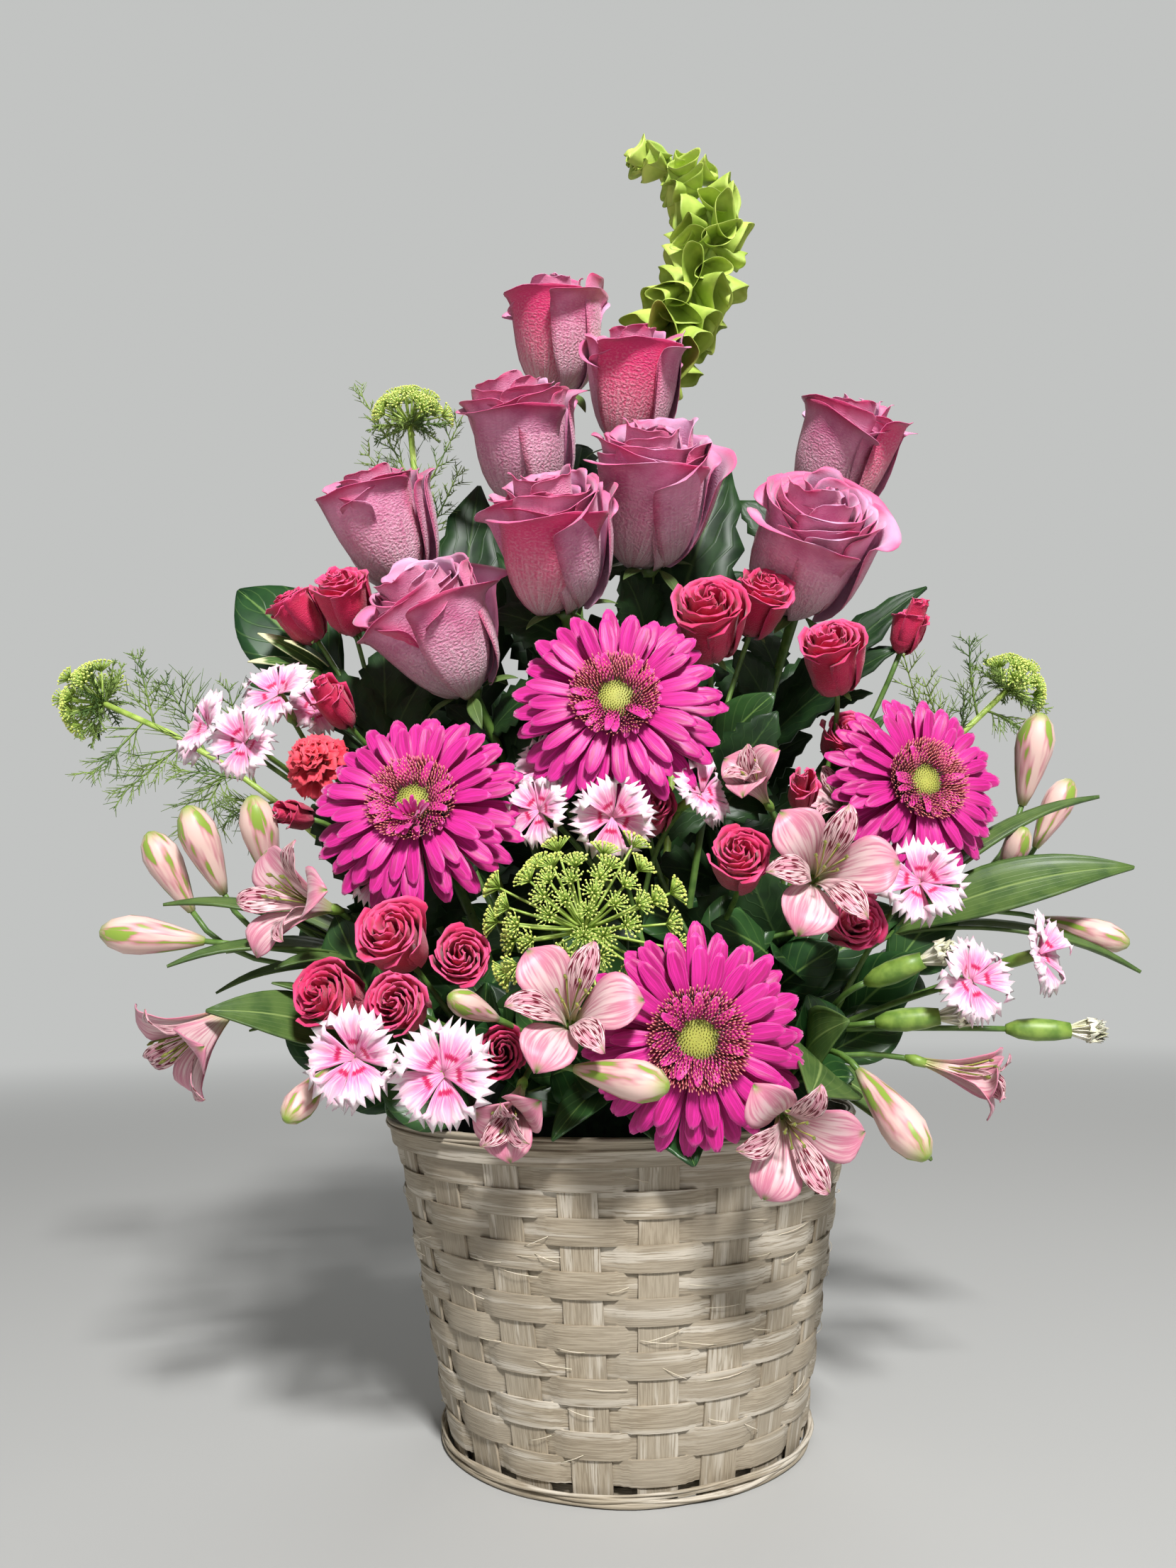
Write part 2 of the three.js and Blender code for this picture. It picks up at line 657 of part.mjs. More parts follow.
function addSpray(name, colour, { fork, heads, leaves = [], radius = 2, twig = 1.4, shift = 0 }) {
  const knot = up(fork);
  const bound = heads.reduce((sum, head) => sum.add(up(head.at)), vec(0, 0, 0)).divideScalar(heads.length);
  const out = bound.sub(knot).normalize();
  const path = stemPath(knot, out, radius, { shift, steps: 2, sides: SPRAY_SIDES });
  const parts = [forkedStem(path, radius, SPRAY_SIDES, 4.4)];
  const start = knot.clone().addScaledVector(out, -1.6);
  heads.forEach(({ kind, at, turn, lift, width, spin = 0 }) => {
    const axis = toward(turn, lift);
    const seat = up(at).addScaledVector(axis, -SEAT_BEHIND[kind] * width);
    const control = seat.clone().addScaledVector(axis, -0.45 * seat.distanceTo(knot));
    const branch = new THREE.QuadraticBezierCurve3(start, control, seat);
    parts.push(twigWithHead(branch.getPoints(2), twig, 3, HEADS[kind](width), frameAt(seat, axis, spin)));
  });
  leaves.forEach(([share, tip, width, shape = 'lance', face = [0, -0.4, 1]]) => {
    const root = share < 1 ? pathAt(path, share) : start;
    parts.push(leaf(root, up(tip), width, { shape, up: up(face) }));
  });
  addPiece(name, colour, geometryOf(fuse(parts)));
}

addSpray('spray_roses_left', 'crimson', {
  fork: [-118, -28, 330],
  heads: [
    { kind: 'rose', at: [-162, -30, 405], turn: -50, lift: 50, width: 27 },
    { kind: 'rose', at: [-137, -38, 409], turn: -10, lift: 45, width: 31 },
    { kind: 'rosebud', at: [-138, -56, 352], turn: -30, lift: 40, width: 20 },
  ],
  leaves: [[0.96, [-176, -12, 372], 22, 'oval'], [0.86, [-92, -60, 330], 24, 'oval']],
});
addSpray('spray_roses_right', 'crimson', {
  fork: [52, -34, 330],
  heads: [
    { kind: 'rose', at: [48, -72, 382], turn: -5, lift: 30, width: 38 },
    { kind: 'rose', at: [76, -50, 399], turn: 15, lift: 35, width: 31 },
  ],
  leaves: [[0.97, [80, -60, 352], 28, 'oval', [0, -1, 0.3]]],
});
addSpray('spray_roses_far_right', 'crimson', {
  fork: [100, -28, 290],
  heads: [
    { kind: 'rose', at: [111, -58, 367], turn: -15, lift: 40, width: 34 },
    { kind: 'rosebud', at: [160, -25, 396], turn: 30, lift: 55, width: 20 },
    { kind: 'rose', at: [120, -24, 333], turn: 10, lift: 20, width: 26 },
    { kind: 'rosebud', at: [88, -76, 300], turn: 0, lift: 35, width: 16 },
  ],
  leaves: [[0.9, [148, -12, 352], 24, 'oval'], [0.86, [66, -40, 310], 24, 'oval']],
});
addSpray('spray_roses_middle', 'crimson', {
  fork: [40, -52, 226],
  heads: [
    { kind: 'rose', at: [16, -74, 290], turn: 0, lift: 30, width: 24 },
    { kind: 'rose', at: [53, -105, 262], turn: -5, lift: 25, width: 27 },
    { kind: 'rose', at: [103, -84, 238], turn: 15, lift: 0, width: 26 },
  ],
});
addSpray('spray_roses_low', 'crimson', {
  shift: 3,
  fork: [-70, -76, 190],
  heads: [
    { kind: 'rose', at: [-95, -110, 231], turn: -10, lift: 25, width: 31 },
    { kind: 'rose', at: [-70, -92, 223], turn: 5, lift: 15, width: 26 },
    { kind: 'rose', at: [-120, -112, 208], turn: -25, lift: 15, width: 29 },
    { kind: 'rose', at: [-91, -122, 205], turn: -10, lift: 10, width: 26 },
    { kind: 'rose', at: [-52, -104, 184], turn: 5, lift: 10, width: 22 },
  ],
});
addSpray('carnation', 'carnation', {
  fork: [-105, -40, 262],
  heads: [
    { kind: 'carnation', at: [-144, -70, 321], turn: -15, lift: 25, width: 33 },
    { kind: 'rosebud', at: [-152, -72, 294], turn: -35, lift: 5, width: 15 },
  ],
});

const PINK = 40;
addSpray('pinks_left', 'fringe_pink', {
  fork: [-125, -30, 285],
  heads: [
    { kind: 'pink', at: [-196, -66, 337], turn: -35, lift: 15, width: PINK },
    { kind: 'pink', at: [-163, -66, 354], turn: -10, lift: 30, width: PINK },
    { kind: 'pink', at: [-172, -86, 326], turn: -15, lift: 5, width: PINK - 4 },
    { kind: 'pink', at: [-151, -42, 352], turn: 10, lift: 25, width: PINK - 8 },
  ],
});
addSpray('pinks_middle', 'fringe_pink', {
  fork: [10, -50, 238],
  heads: [
    { kind: 'pink', at: [-31, -84, 311], turn: -10, lift: 20, width: PINK - 4 },
    { kind: 'pink', at: [-35, -94, 290], turn: -20, lift: 5, width: PINK - 6 },
    { kind: 'pink', at: [-2, -98, 286], turn: 0, lift: -5, width: PINK },
    { kind: 'pink', at: [38, -92, 297], turn: 40, lift: 20, width: PINK - 6 },
  ],
});
addSpray('pinks_right', 'fringe_pink', {
  shift: 11,
  fork: [98, -58, 190],
  heads: [
    { kind: 'pink', at: [130, -108, 253], turn: 5, lift: 10, width: PINK },
    { kind: 'pink', at: [149, -106, 211], turn: 30, lift: 10, width: PINK - 2 },
    { kind: 'pink', at: [184, -92, 222], turn: 50, lift: 15, width: PINK - 2 },
    { kind: 'calyx', at: [120, -98, 216], turn: 62, lift: 20, width: 9 },
    { kind: 'calyx', at: [125, -96, 195], turn: 75, lift: 5, width: 9 },
    { kind: 'calyx', at: [186, -84, 189], turn: 80, lift: -2, width: 9 },
  ],
});
addSpray('pinks_low', 'fringe_pink', {
  shift: 12,
  fork: [-84, -98, 178],
  heads: [
    { kind: 'pink', at: [-106, -142, 186], turn: -5, lift: 0, width: PINK + 2 },
    { kind: 'pink', at: [-70, -152, 180], turn: 5, lift: 0, width: PINK + 2 },
  ],
});

addSpray('lilies_left', 'pale_pink', {
  shift: -7,
  fork: [-120, -58, 226],
  heads: [
    { kind: 'lily', at: [-146, -100, 252], turn: -60, lift: 5, width: 46 },
    { kind: 'lilybud', at: [-211, -68, 268], turn: -60, lift: 60, width: 19 },
    { kind: 'lilybud', at: [-192, -76, 277], turn: -40, lift: 62, width: 20 },
    { kind: 'lilybud', at: [-166, -74, 281], turn: -20, lift: 65, width: 20 },
    { kind: 'lilybud', at: [-208, -92, 237], turn: -80, lift: 6, width: 20 },
    { kind: 'pink', at: [-108, -88, 262], turn: -5, lift: 10, width: PINK - 10 },
  ],
  leaves: [
    [1, [-206, -88, 252], 18],
    [0.96, [-196, -106, 224], 16],
  ],
});
addSpray('lilies_far_left', 'pale_pink', {
  shift: -3,
  fork: [-120, -72, 186],
  heads: [
    { kind: 'lily', at: [-185, -110, 191], turn: -50, lift: -35, width: 50 },
    { kind: 'lilybud', at: [-131, -116, 170], turn: -20, lift: -30, width: 15 },
  ],
  leaves: [[0.96, [-174, -118, 205], 28, 'oval', [0, -0.8, 0.6]]],
});
addSpray('lilies_middle', 'pale_pink', {
  shift: -9,
  fork: [80, -44, 238],
  heads: [
    { kind: 'lily', at: [85, -126, 258], turn: 0, lift: 5, width: 54 },
    { kind: 'lily', at: [62, -94, 302], turn: -30, lift: 25, width: 42 },
    { kind: 'lily', at: [112, -46, 301], turn: -20, lift: 20, width: 34 },
  ],
});
addSpray('lilies_low', 'pale_pink', {
  fork: [-34, -92, 186],
  heads: [
    { kind: 'lily', at: [-22, -152, 204], turn: 0, lift: 20, width: 50 },
    { kind: 'lily', at: [-46, -136, 163], turn: -10, lift: -25, width: 44 },
    { kind: 'lilybud', at: [-3, -158, 178], turn: 60, lift: -8, width: 18 },
    { kind: 'lilybud', at: [-61, -128, 204], turn: -40, lift: 20, width: 13 },
  ],
});
addSpray('lilies_right', 'pale_pink', {
  fork: [84, -74, 176],
  heads: [
    { kind: 'lily', at: [61, -156, 156], turn: 0, lift: -15, width: 46 },
    { kind: 'lily', at: [149, -98, 171], turn: 65, lift: -15, width: 46 },
    { kind: 'lilybud', at: [106, -128, 160], turn: 35, lift: -45, width: 20 },
  ],
  leaves: [
    [1, [92, -124, 196], 30, 'oval', [0, -1, 0.4]],
    [0.96, [124, -118, 140], 22, 'oval', [0, -0.5, 1]],
  ],
});
addSpray('lilies_far_right', 'pale_pink', {
  shift: 10,
  fork: [140, -26, 236],
  heads: [
    { kind: 'lilybud', at: [220, -20, 324], turn: 30, lift: 70, width: 22 },
    { kind: 'lilybud', at: [231, -14, 296], turn: 70, lift: 60, width: 18 },
    { kind: 'lilybud', at: [200, -34, 272], turn: 20, lift: 50, width: 15 },
    { kind: 'lilybud', at: [235, -30, 234], turn: 65, lift: -20, width: 18 },
  ],
  leaves: [
    [1, [252, -52, 264], 30, 'oval', [0, -0.8, 0.6]],
    [1, [246, -36, 302], 16],
    [0.97, [256, -40, 214], 14],
  ],
});

// A feathery leaf: a bent rib with needles to both sides
function feather([root, tip, spread, needles]) {
  const from = up(root);
  const to = up(tip);
  const rib = [from, from.clone().lerp(to, 0.5).add(vec(0, 0, 0.12 * spread)), to];
  const way = to.clone().sub(from).normalize();
  const parts = [rod(rib, [1.2, 1.1, 0.9], 4)];
  for (let i = 0; i < needles; i += 1) {
    const share = 0.2 + (0.75 * i) / needles;
    const start = pathAt(rib, share);
    const side = (i % 2 === 0 ? 1 : -1) * spread * (1.1 - 0.7 * share);
    const swing = vec(-way.z * side, 0.5 * spread * Math.sin(2.1 * i), way.x * side);
    parts.push(needle(start, start.clone().addScaledVector(way, 0.55 * spread).add(swing), 0.55));
  }
  return parts;
}

// Umbels: rays from one point, each with a cluster of tiny florets at its tip
const GOLDEN_TURN = 2.39996;
function addUmbel(name, { at, turn, lift, reach, rays, dome, curved = false, feathers = [], shift = 0 }) {
  const axis = toward(turn, lift);
  const hub = up(at);
  const frame = frameAt(hub, axis);
  const path = stemPath(hub, axis, 1.8, { shift, sides: SPRAY_SIDES });
  const parts = [forkedStem(path, 1.8, SPRAY_SIDES, 3.6)];
  const start = hub.clone().addScaledVector(axis, -1.2);
  for (let i = 0; i < rays; i += 1) {
    const angle = i * GOLDEN_TURN;
    const share = Math.sqrt((i + 0.5) / rays);
    const out = reach * share;
    const high = dome * (1.15 - share * share);
    const tip = vec(out * Math.cos(angle), out * Math.sin(angle), high).applyMatrix4(frame);
    const half = 0.5 * out;
    const knee = vec(half * Math.cos(angle), half * Math.sin(angle), 0.75 * high).applyMatrix4(frame);
    const ray = curved ? [start, knee, tip] : [start, tip];
    const away = tip.clone().sub(hub).normalize();
    parts.push(twigWithHead(ray, 0.7, 3, floretKnot(0.15 * reach + 1), frameAt(tip, away)));
  }
  feathers.forEach(([share, tip, spread, needles]) => {
    const root = pathAt(path, share).toArray();
    parts.push(...feather([root, tip, spread, needles]));
  });
  addPiece(name, 'lime', geometryOf(fuse(parts)));
}

addUmbel('umbel_middle', {
  at: [-16, -104, 236], turn: -6, lift: 14, reach: 41, rays: 16, dome: 22, curved: true, shift: -10,
});
addUmbel('umbel_upper_left', {
  at: [-114, 12, 540], turn: -8, lift: 75, reach: 20, rays: 8, dome: 15,
  feathers: [[0.9, [-146, 6, 562], 14, 6], [0.88, [-78, 4, 548], 12, 5]],
});
addUmbel('umbel_far_left', {
  at: [-284, 8, 372], turn: -90, lift: 22, reach: 22, rays: 8, dome: 18, shift: -14,
  feathers: [
    [0.92, [-284, -4, 326], 14, 5],
    [0.84, [-268, 0, 316], 16, 5],
    [0.76, [-226, -6, 296], 16, 5],
    [0.8, [-250, 4, 386], 14, 5],
  ],
});
addUmbel('umbel_right', {
  at: [228, 20, 374], turn: 70, lift: 40, reach: 18, rays: 7, dome: 13, shift: 15,
  feathers: [[0.92, [204, 10, 402], 14, 5], [0.84, [176, 10, 378], 12, 5]],
});

// Bells: cups in pairs up a spike that bends like an S
const SPIKE = [[46, 46, 540], [50, 40, 585], [64, 32, 625], [76, 26, 668], [62, 22, 708], [30, 18, 724]];

function addBells() {
  const line = new THREE.CatmullRomCurve3(SPIKE.map(up));
  const lead = stemPath(up(SPIKE[0]), up(SPIKE[1]).sub(up(SPIKE[0])), 2.4, { bend: 0.3, shift: -20 });
  const path = [...lead.slice(0, -1), ...line.getPoints(8)];
  const parts = [rod(path, path.map((p, i) => 2.4 - (1.2 * i) / path.length))];
  const pairs = 6;
  for (let i = 0; i < pairs; i += 1) {
    const share = 0.16 + (0.82 * i) / (pairs - 1);
    const middle = line.getPointAt(share);
    const along = line.getTangentAt(share);
    const frame = frameAt(middle, along);
    const width = 38 - 22 * share;
    for (let k = 0; k < 2; k += 1) {
      const angle = Math.PI * k + i * 1.3;
      const out = vec(Math.cos(angle), Math.sin(angle), 0.7).transformDirection(frame);
      parts.push(placed(bellCup(width), middle, out, 20 * k));
    }
  }
  addPiece('bells_of_ireland', 'lime', geometryOf(fuse(parts)));
}

addBells();

// Leaves on stems of their own
function addLeaves(name, { fork, blades, radius = 1.8, shift = 0 }) {
  const knot = up(fork);
  const aim = up(blades[0][0]).sub(knot).normalize();
  const path = stemPath(knot, aim, radius, { shift, steps: 2, sides: SPRAY_SIDES });
  const parts = [forkedStem(path, radius, SPRAY_SIDES, 3.6)];
  const start = knot.clone().addScaledVector(aim, -1.6);
  blades.forEach(([tip, width, shape, face, rise = 0.12]) => {
    parts.push(leaf(start.clone(), up(tip), width, { shape, up: up(face), rise }));
  });
  addPiece(name, 'leaf', geometryOf(fuse(parts)));
}

addLeaves('broad_leaf_front', {
  fork: [6, -84, 174],
  blades: [
    [[26, -134, 142], 38, 'oval', [0, -0.4, 1], 0.2],
    [[-30, -130, 152], 20, 'oval', [0, -0.6, 1], 0.2],
  ],
});
addLeaves('round_leaf_left', {
  fork: [-150, 4, 378],
  blades: [
    [[-206, -4, 432], 52, 'oval', [0, -1, 0.2]],
    [[-196, -8, 376], 20, 'oval', [0, -1, 0.3]],
  ],
});
addLeaves('back_greens', {
  fork: [0, 70, 250],
  blades: [
    [[0, 96, 440], 52, 'oval', [0, 1, 0.2]],
    [[-84, 84, 410], 52, 'oval', [0, 1, 0.2]],
    [[90, 90, 410], 52, 'oval', [0, 1, 0.2]],
    [[-134, 84, 330], 52, 'oval', [0, 1, 0.4]],
    [[138, 84, 330], 52, 'oval', [0, 1, 0.4]],
    [[-110, 96, 220], 48, 'oval', [0, 1, 0.6]],
    [[110, 96, 220], 48, 'oval', [0, 1, 0.6]],
    [[0, 142, 200], 48, 'oval', [0, 1, 0.6]],
  ],
});

// Basket pieces, last, because the foam has a hole for each stem
addPiece('basket_wall', 'splint', basketWall());
addPiece('basket_base', 'splint', basketBase());
addPiece('foot_hoop', 'splint', footHoop());
addPiece('rim_hoop', 'splint', rimHoop());
addPiece('liner', 'liner', linerCup());

function foamBlock() {
  const outline = [...FOAM_PROFILE];
  const holes = foamHoles.map(solidOf).reduce((sum, hole) => sum.add(hole));
  return geometryOf(solidOf(turned(outline, 16)).subtract(holes));
}

addPiece('foam', 'foam', foamBlock(), 0.95);

export default arrangement;
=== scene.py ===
# %% [markdown]
# A florist's arrangement in a whitewashed splint basket
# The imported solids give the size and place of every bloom, stem and splint. Here each of them gets
# the piece that is seen: real petals in layers, veined leaves, umbels of florets and a woven wall.
# Lengths are written in millimetres and turned into metres by MM, and angles are in degrees.

# %% Load the frame
import json
import math
import random
from contextlib import contextmanager

import bmesh
import bpy
from mathutils import Matrix, Vector
from mathutils.geometry import interpolate_bezier

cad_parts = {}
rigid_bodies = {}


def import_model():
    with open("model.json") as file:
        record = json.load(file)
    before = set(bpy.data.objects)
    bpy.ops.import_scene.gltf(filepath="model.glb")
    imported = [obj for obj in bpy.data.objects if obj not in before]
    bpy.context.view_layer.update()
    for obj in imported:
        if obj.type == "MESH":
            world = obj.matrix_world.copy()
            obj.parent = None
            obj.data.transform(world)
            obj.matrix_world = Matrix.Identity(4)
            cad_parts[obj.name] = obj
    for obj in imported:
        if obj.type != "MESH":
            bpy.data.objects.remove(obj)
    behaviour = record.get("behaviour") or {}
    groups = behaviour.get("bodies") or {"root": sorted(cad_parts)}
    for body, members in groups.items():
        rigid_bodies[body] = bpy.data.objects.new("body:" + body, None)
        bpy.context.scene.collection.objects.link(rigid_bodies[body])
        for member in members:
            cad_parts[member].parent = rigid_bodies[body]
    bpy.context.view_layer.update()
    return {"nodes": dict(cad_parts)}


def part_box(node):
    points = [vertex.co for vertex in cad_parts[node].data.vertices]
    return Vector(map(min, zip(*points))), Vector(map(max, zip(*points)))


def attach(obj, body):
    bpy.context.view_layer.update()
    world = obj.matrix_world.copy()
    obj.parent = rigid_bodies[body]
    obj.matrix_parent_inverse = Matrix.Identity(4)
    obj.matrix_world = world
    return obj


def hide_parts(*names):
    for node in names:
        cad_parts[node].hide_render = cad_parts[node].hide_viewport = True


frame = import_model()
MM = 0.001
GOLDEN_TURN = math.radians(137.508)

# %% [markdown]
# The camera
# The photograph was taken from just above the height of the basket's rim, looking up by ten degrees,
# with the phone leaning by one. Those angles and the focal length in pixels fix the camera, so that
# every later comparison is of like with like.

# %% Camera
PHOTO_HEIGHT = 2212
FOCAL_PIXELS = 1533
EYE = Vector((-13, -580, 214)) * MM
PITCH = math.radians(10.27)
ROLL = math.radians(-1.06)
SENSOR = 36

bpy.ops.object.camera_add()
camera = bpy.context.object
camera.data.sensor_width = SENSOR
camera.data.lens = SENSOR * FOCAL_PIXELS / PHOTO_HEIGHT
camera.data.clip_start = 0.01
ahead = Vector((0, math.cos(PITCH), math.sin(PITCH)))
level = Vector((1, 0, 0))
above = Vector((0, -math.sin(PITCH), math.cos(PITCH)))
right = level * math.cos(ROLL) + above * math.sin(ROLL)
upward = above * math.cos(ROLL) - level * math.sin(ROLL)
camera.matrix_world = Matrix.Translation(EYE) @ Matrix((right, upward, -ahead)).transposed().to_4x4()
bpy.context.scene.camera = camera
print("lens", round(camera.data.lens, 2), "mm")

# %% [markdown]
# Short names for shader nodes
# Every finish is painted in layers: a base colour, then one colour after another, each with a share
# of its own. The shares come from noise, from the place on the petal or from a number on the mesh.
# These classes give short names to the few nodes that this takes. Colours are written as they look
# on a screen, from 0 to 255, and are turned into the linear values that a shader wants.

# %% Node helpers
def linear(colour):
    """Three numbers are a screen colour and are made linear; anything else is passed on."""
    if not isinstance(colour, tuple) or len(colour) != 3:
        return colour
    shares = [c / 255 for c in colour]
    return tuple(c / 12.92 if c <= 0.04045 else ((c + 0.055) / 1.055) ** 2.4 for c in shares) + (1,)


class Nodes:
    """A node tree, with one short call for each kind of node that the finishes need."""

    def __init__(self, tree):
        self.tree = tree

    def put(self, value, socket):
        if isinstance(value, bpy.types.NodeSocket):
            self.tree.links.new(value, socket)
        else:
            socket.default_value = value

    def add(self, kind, values=None, **settings):
        node = self.tree.nodes.new(kind)
        for key, value in settings.items():
            setattr(node, key, value)
        for key, value in (values or {}).items():
            self.put(value, node.inputs[key])
        return node

    def math(self, operation, *values):
        return self.add("ShaderNodeMath", dict(enumerate(values)), operation=operation).outputs[0]

    def times(self, first, second):
        return self.math("MULTIPLY", first, second)

    def spread(self, value, low, high, to_low=0, to_high=1):
        """Goes smoothly from to_low to to_high while the value goes from low to high."""
        values = {0: value, 1: low, 2: high, 3: to_low, 4: to_high}
        return self.add("ShaderNodeMapRange", values, interpolation_type="SMOOTHSTEP").outputs[0]

    def space(self):
        return self.add("ShaderNodeTexCoord").outputs["Object"]

    def uv(self):
        return self.add("ShaderNodeUVMap", uv_map="UVMap").outputs[0]

    def noise(self, place, scale, detail):
        return self.add("ShaderNodeTexNoise", {0: place, "Scale": scale, "Detail": detail}).outputs[0]

    def crinkle(self, scale, detail=3):
        return self.noise(self.space(), scale, detail)

    def strokes(self, across, along, detail):
        """Noise that runs in strokes along the petal."""
        place = self.add("ShaderNodeMapping", {0: self.uv(), "Scale": (across, along, 1)}).outputs[0]
        return self.noise(place, 1, detail)

    def vector(self, operation, *values):
        return self.add("ShaderNodeVectorMath", dict(enumerate(values)), operation=operation).outputs

    def tint(self, share=1):
        number = self.add("ShaderNodeAttribute", attribute_name="tint").outputs["Fac"]
        return number if share == 1 else self.times(number, share)

    def layered(self, base, *layers):
        """Lays colours over a base; each layer is the share of it that shows, and its colour."""
        for share, colour in layers:
            values = {0: share, 6: linear(base), 7: linear(colour)}
            base = self.add("ShaderNodeMix", values, data_type="RGBA").outputs[2]
        return base


class Look(Nodes):
    """One new material, from the constants of its shader to its colour and relief."""

    def __init__(self, name, constants):
        self.material = bpy.data.materials.new(name)
        self.material.use_nodes = True
        super().__init__(self.material.node_tree)
        self.inputs = self.tree.nodes["Principled BSDF"].inputs
        for label, value in constants.items():
            self.inputs[label].default_value = value

    def finish(self, colour, height=None, strength=0.3, distance=0.4):
        self.put(colour, self.inputs["Base Color"])
        if height is not None:
            values = {"Height": height, "Strength": strength, "Distance": distance * MM}
            self.put(self.add("ShaderNodeBump", values).outputs[0], self.inputs["Normal"])
        return self.material


print("a screen grey of 128 is", round(linear((128, 128, 128))[0], 3), "in linear light")

# %% [markdown]
# Working by hand in edit mode
# A petal starts as a flat grid. Its rows and columns are picked by their place on the sheet and then
# scaled and moved with the transform operators, as one would do by hand, from root to tip. The list
# of rows is the petal's pattern. Everything is deselected before each step.

# %% Helpers for modelling
sheet_places = {}


def only(thing):
    bpy.ops.object.select_all(action="DESELECT")
    thing.select_set(True)
    bpy.context.view_layer.objects.active = thing


def bake():
    """Puts the place and scale of the selected object into its mesh."""
    bpy.ops.object.transform_apply(location=True, rotation=True, scale=True)


def added(name, operator, **settings):
    """A new primitive at its size and place, with nothing else selected."""
    bpy.ops.object.select_all(action="DESELECT")
    operator(**settings)
    bake()
    thing = bpy.context.object
    thing.name = name
    return thing


@contextmanager
def editing(thing):
    """Edit mode on one piece, and back to object mode at the end."""
    only(thing)
    bpy.ops.object.mode_set(mode="EDIT")
    yield
    bpy.ops.object.mode_set(mode="OBJECT")


def pick(thing, wanted):
    """Selects the corners of the mesh in edit mode for which wanted(number, corner) holds."""
    bpy.ops.mesh.select_all(action="DESELECT")
    mesh = bmesh.from_edit_mesh(thing.data)
    for number, corner in enumerate(mesh.verts):
        corner.select = wanted(number, corner)
    mesh.select_flush_mode()
    bmesh.update_edit_mesh(thing.data, loop_triangles=False, destructive=False)


def stretch(size=(1, 1, 1), move=(0, 0, 0)):
    """Scales what is picked about the middle of the world, then moves it by millimetres."""
    bpy.ops.transform.resize(value=size, center_override=(0, 0, 0))
    bpy.ops.transform.translate(value=[m * MM for m in move])


def nudge(sheet, rule, size=(1, 1, 1), move=(0, 0, 0)):
    """Stretches the part of a sheet that a rule of across and along picks."""
    places = sheet_places[sheet.name]
    pick(sheet, lambda number, corner: rule(*places[number]))
    stretch(size, move)


def row_rule(row, count):
    return lambda across, along: abs(along * count - row) < 0.01


def column_rule(column):
    return lambda across, along: abs(across - column) < 0.01


print("edit mode helpers ready")

# %% [markdown]
# Sheets
# A sheet is a grid with its rows set by a pattern. A flat one lies along +Y and is cupped across; a
# wrapped one is bent round the axis of the flower. Then its outer part is shaken a little, it gets a
# smooth surface and, last of all, a thickness, so that it is closed like a real petal.

# %% Sheets from patterns
def blank(name, columns, rows):
    """A flat grid; each corner's place on it is kept: across from -1 to 1, along from 0 to 1."""
    sheet = added(name, bpy.ops.mesh.primitive_grid_add, x_subdivisions=columns, y_subdivisions=rows, size=1)
    sheet_places[name] = [(2 * v.co.x, v.co.y + 0.5) for v in sheet.data.vertices]
    return sheet


def shape_flat(sheet, pattern, groove=(0,)):
    """Rows of half width, distance out, height and depth of cup, in millimetres, from root to tip."""
    with editing(sheet):
        for k, column in enumerate(sorted({across for across, _ in sheet_places[sheet.name]})):
            nudge(sheet, column_rule(column), move=(0, 0, column * column + groove[k % len(groove)]))
        for row, (half, out, height, cup) in enumerate(pattern):
            rule = row_rule(row, len(pattern) - 1)
            nudge(sheet, rule, size=(2 * half * MM, 0, cup), move=(0, out, height))


def modified(thing, kind, **settings):
    """Adds a modifier with its settings and applies it."""
    only(thing)
    modifier = thing.modifiers.new(kind.lower(), kind)
    for key, value in settings.items():
        setattr(modifier, key, value)
    bpy.ops.object.modifier_apply(modifier=modifier.name)


def shape_wrapped(sheet, wrap, pattern):
    """Rows of share of the wrap, radius and height; the sheet goes round the flower's axis."""
    rules = [row_rule(row, len(pattern) - 1) for row in range(len(pattern))]
    with editing(sheet):
        for rule, (share, _, height) in zip(rules, pattern):
            nudge(sheet, rule, size=(share, 0, 1), move=(0, 0, height))
    modified(sheet, "SIMPLE_DEFORM", deform_method="BEND", deform_axis="Z", angle=math.radians(wrap))
    first = max(share for share, _, _ in pattern) / math.radians(wrap)
    with editing(sheet):
        nudge(sheet, lambda across, along: True, move=(0, -first / MM, 0))
        for rule, (_, radius, _) in zip(rules, pattern):
            nudge(sheet, rule, size=(radius * MM / first, radius * MM / first, 1))


def ruffle(sheet, amount, seed, start=0.5):
    """Shakes the outer part of a sheet a little, so that no two rims run straight."""
    with editing(sheet):
        nudge(sheet, lambda across, along: along >= start)
        bpy.ops.transform.vertex_random(offset=amount * MM, uniform=1, normal=0, seed=seed)


def finish_sheet(sheet, material, thickness=0.45, levels=1, inner=None):
    """Gives a sheet a smooth surface and a thickness; its inner face may have a finish of its own."""
    if levels:
        modified(sheet, "SUBSURF", levels=levels, render_levels=levels)
    for finish in (material, inner):
        if finish:
            sheet.data.materials.append(finish)
    slot = 1 if inner else 0
    modified(sheet, "SOLIDIFY", thickness=thickness * MM, material_offset=slot, material_offset_rim=slot)
    bpy.ops.object.shade_smooth()
    return sheet


print("sheet helpers ready")

# %% [markdown]
# Copies
# What repeats is modelled once. A copy gets a mesh of its own, moved to its place in that mesh, and a
# number called tint that lets its material vary from petal to petal. Copies of one flower are joined.

# %% Helpers for copying, placing and joining
def set_tint(piece, tint):
    attributes = piece.data.attributes
    shade = attributes.get("tint") or attributes.new("tint", "FLOAT", "POINT")
    shade.data.foreach_set("value", [tint] * len(piece.data.vertices))
    return piece


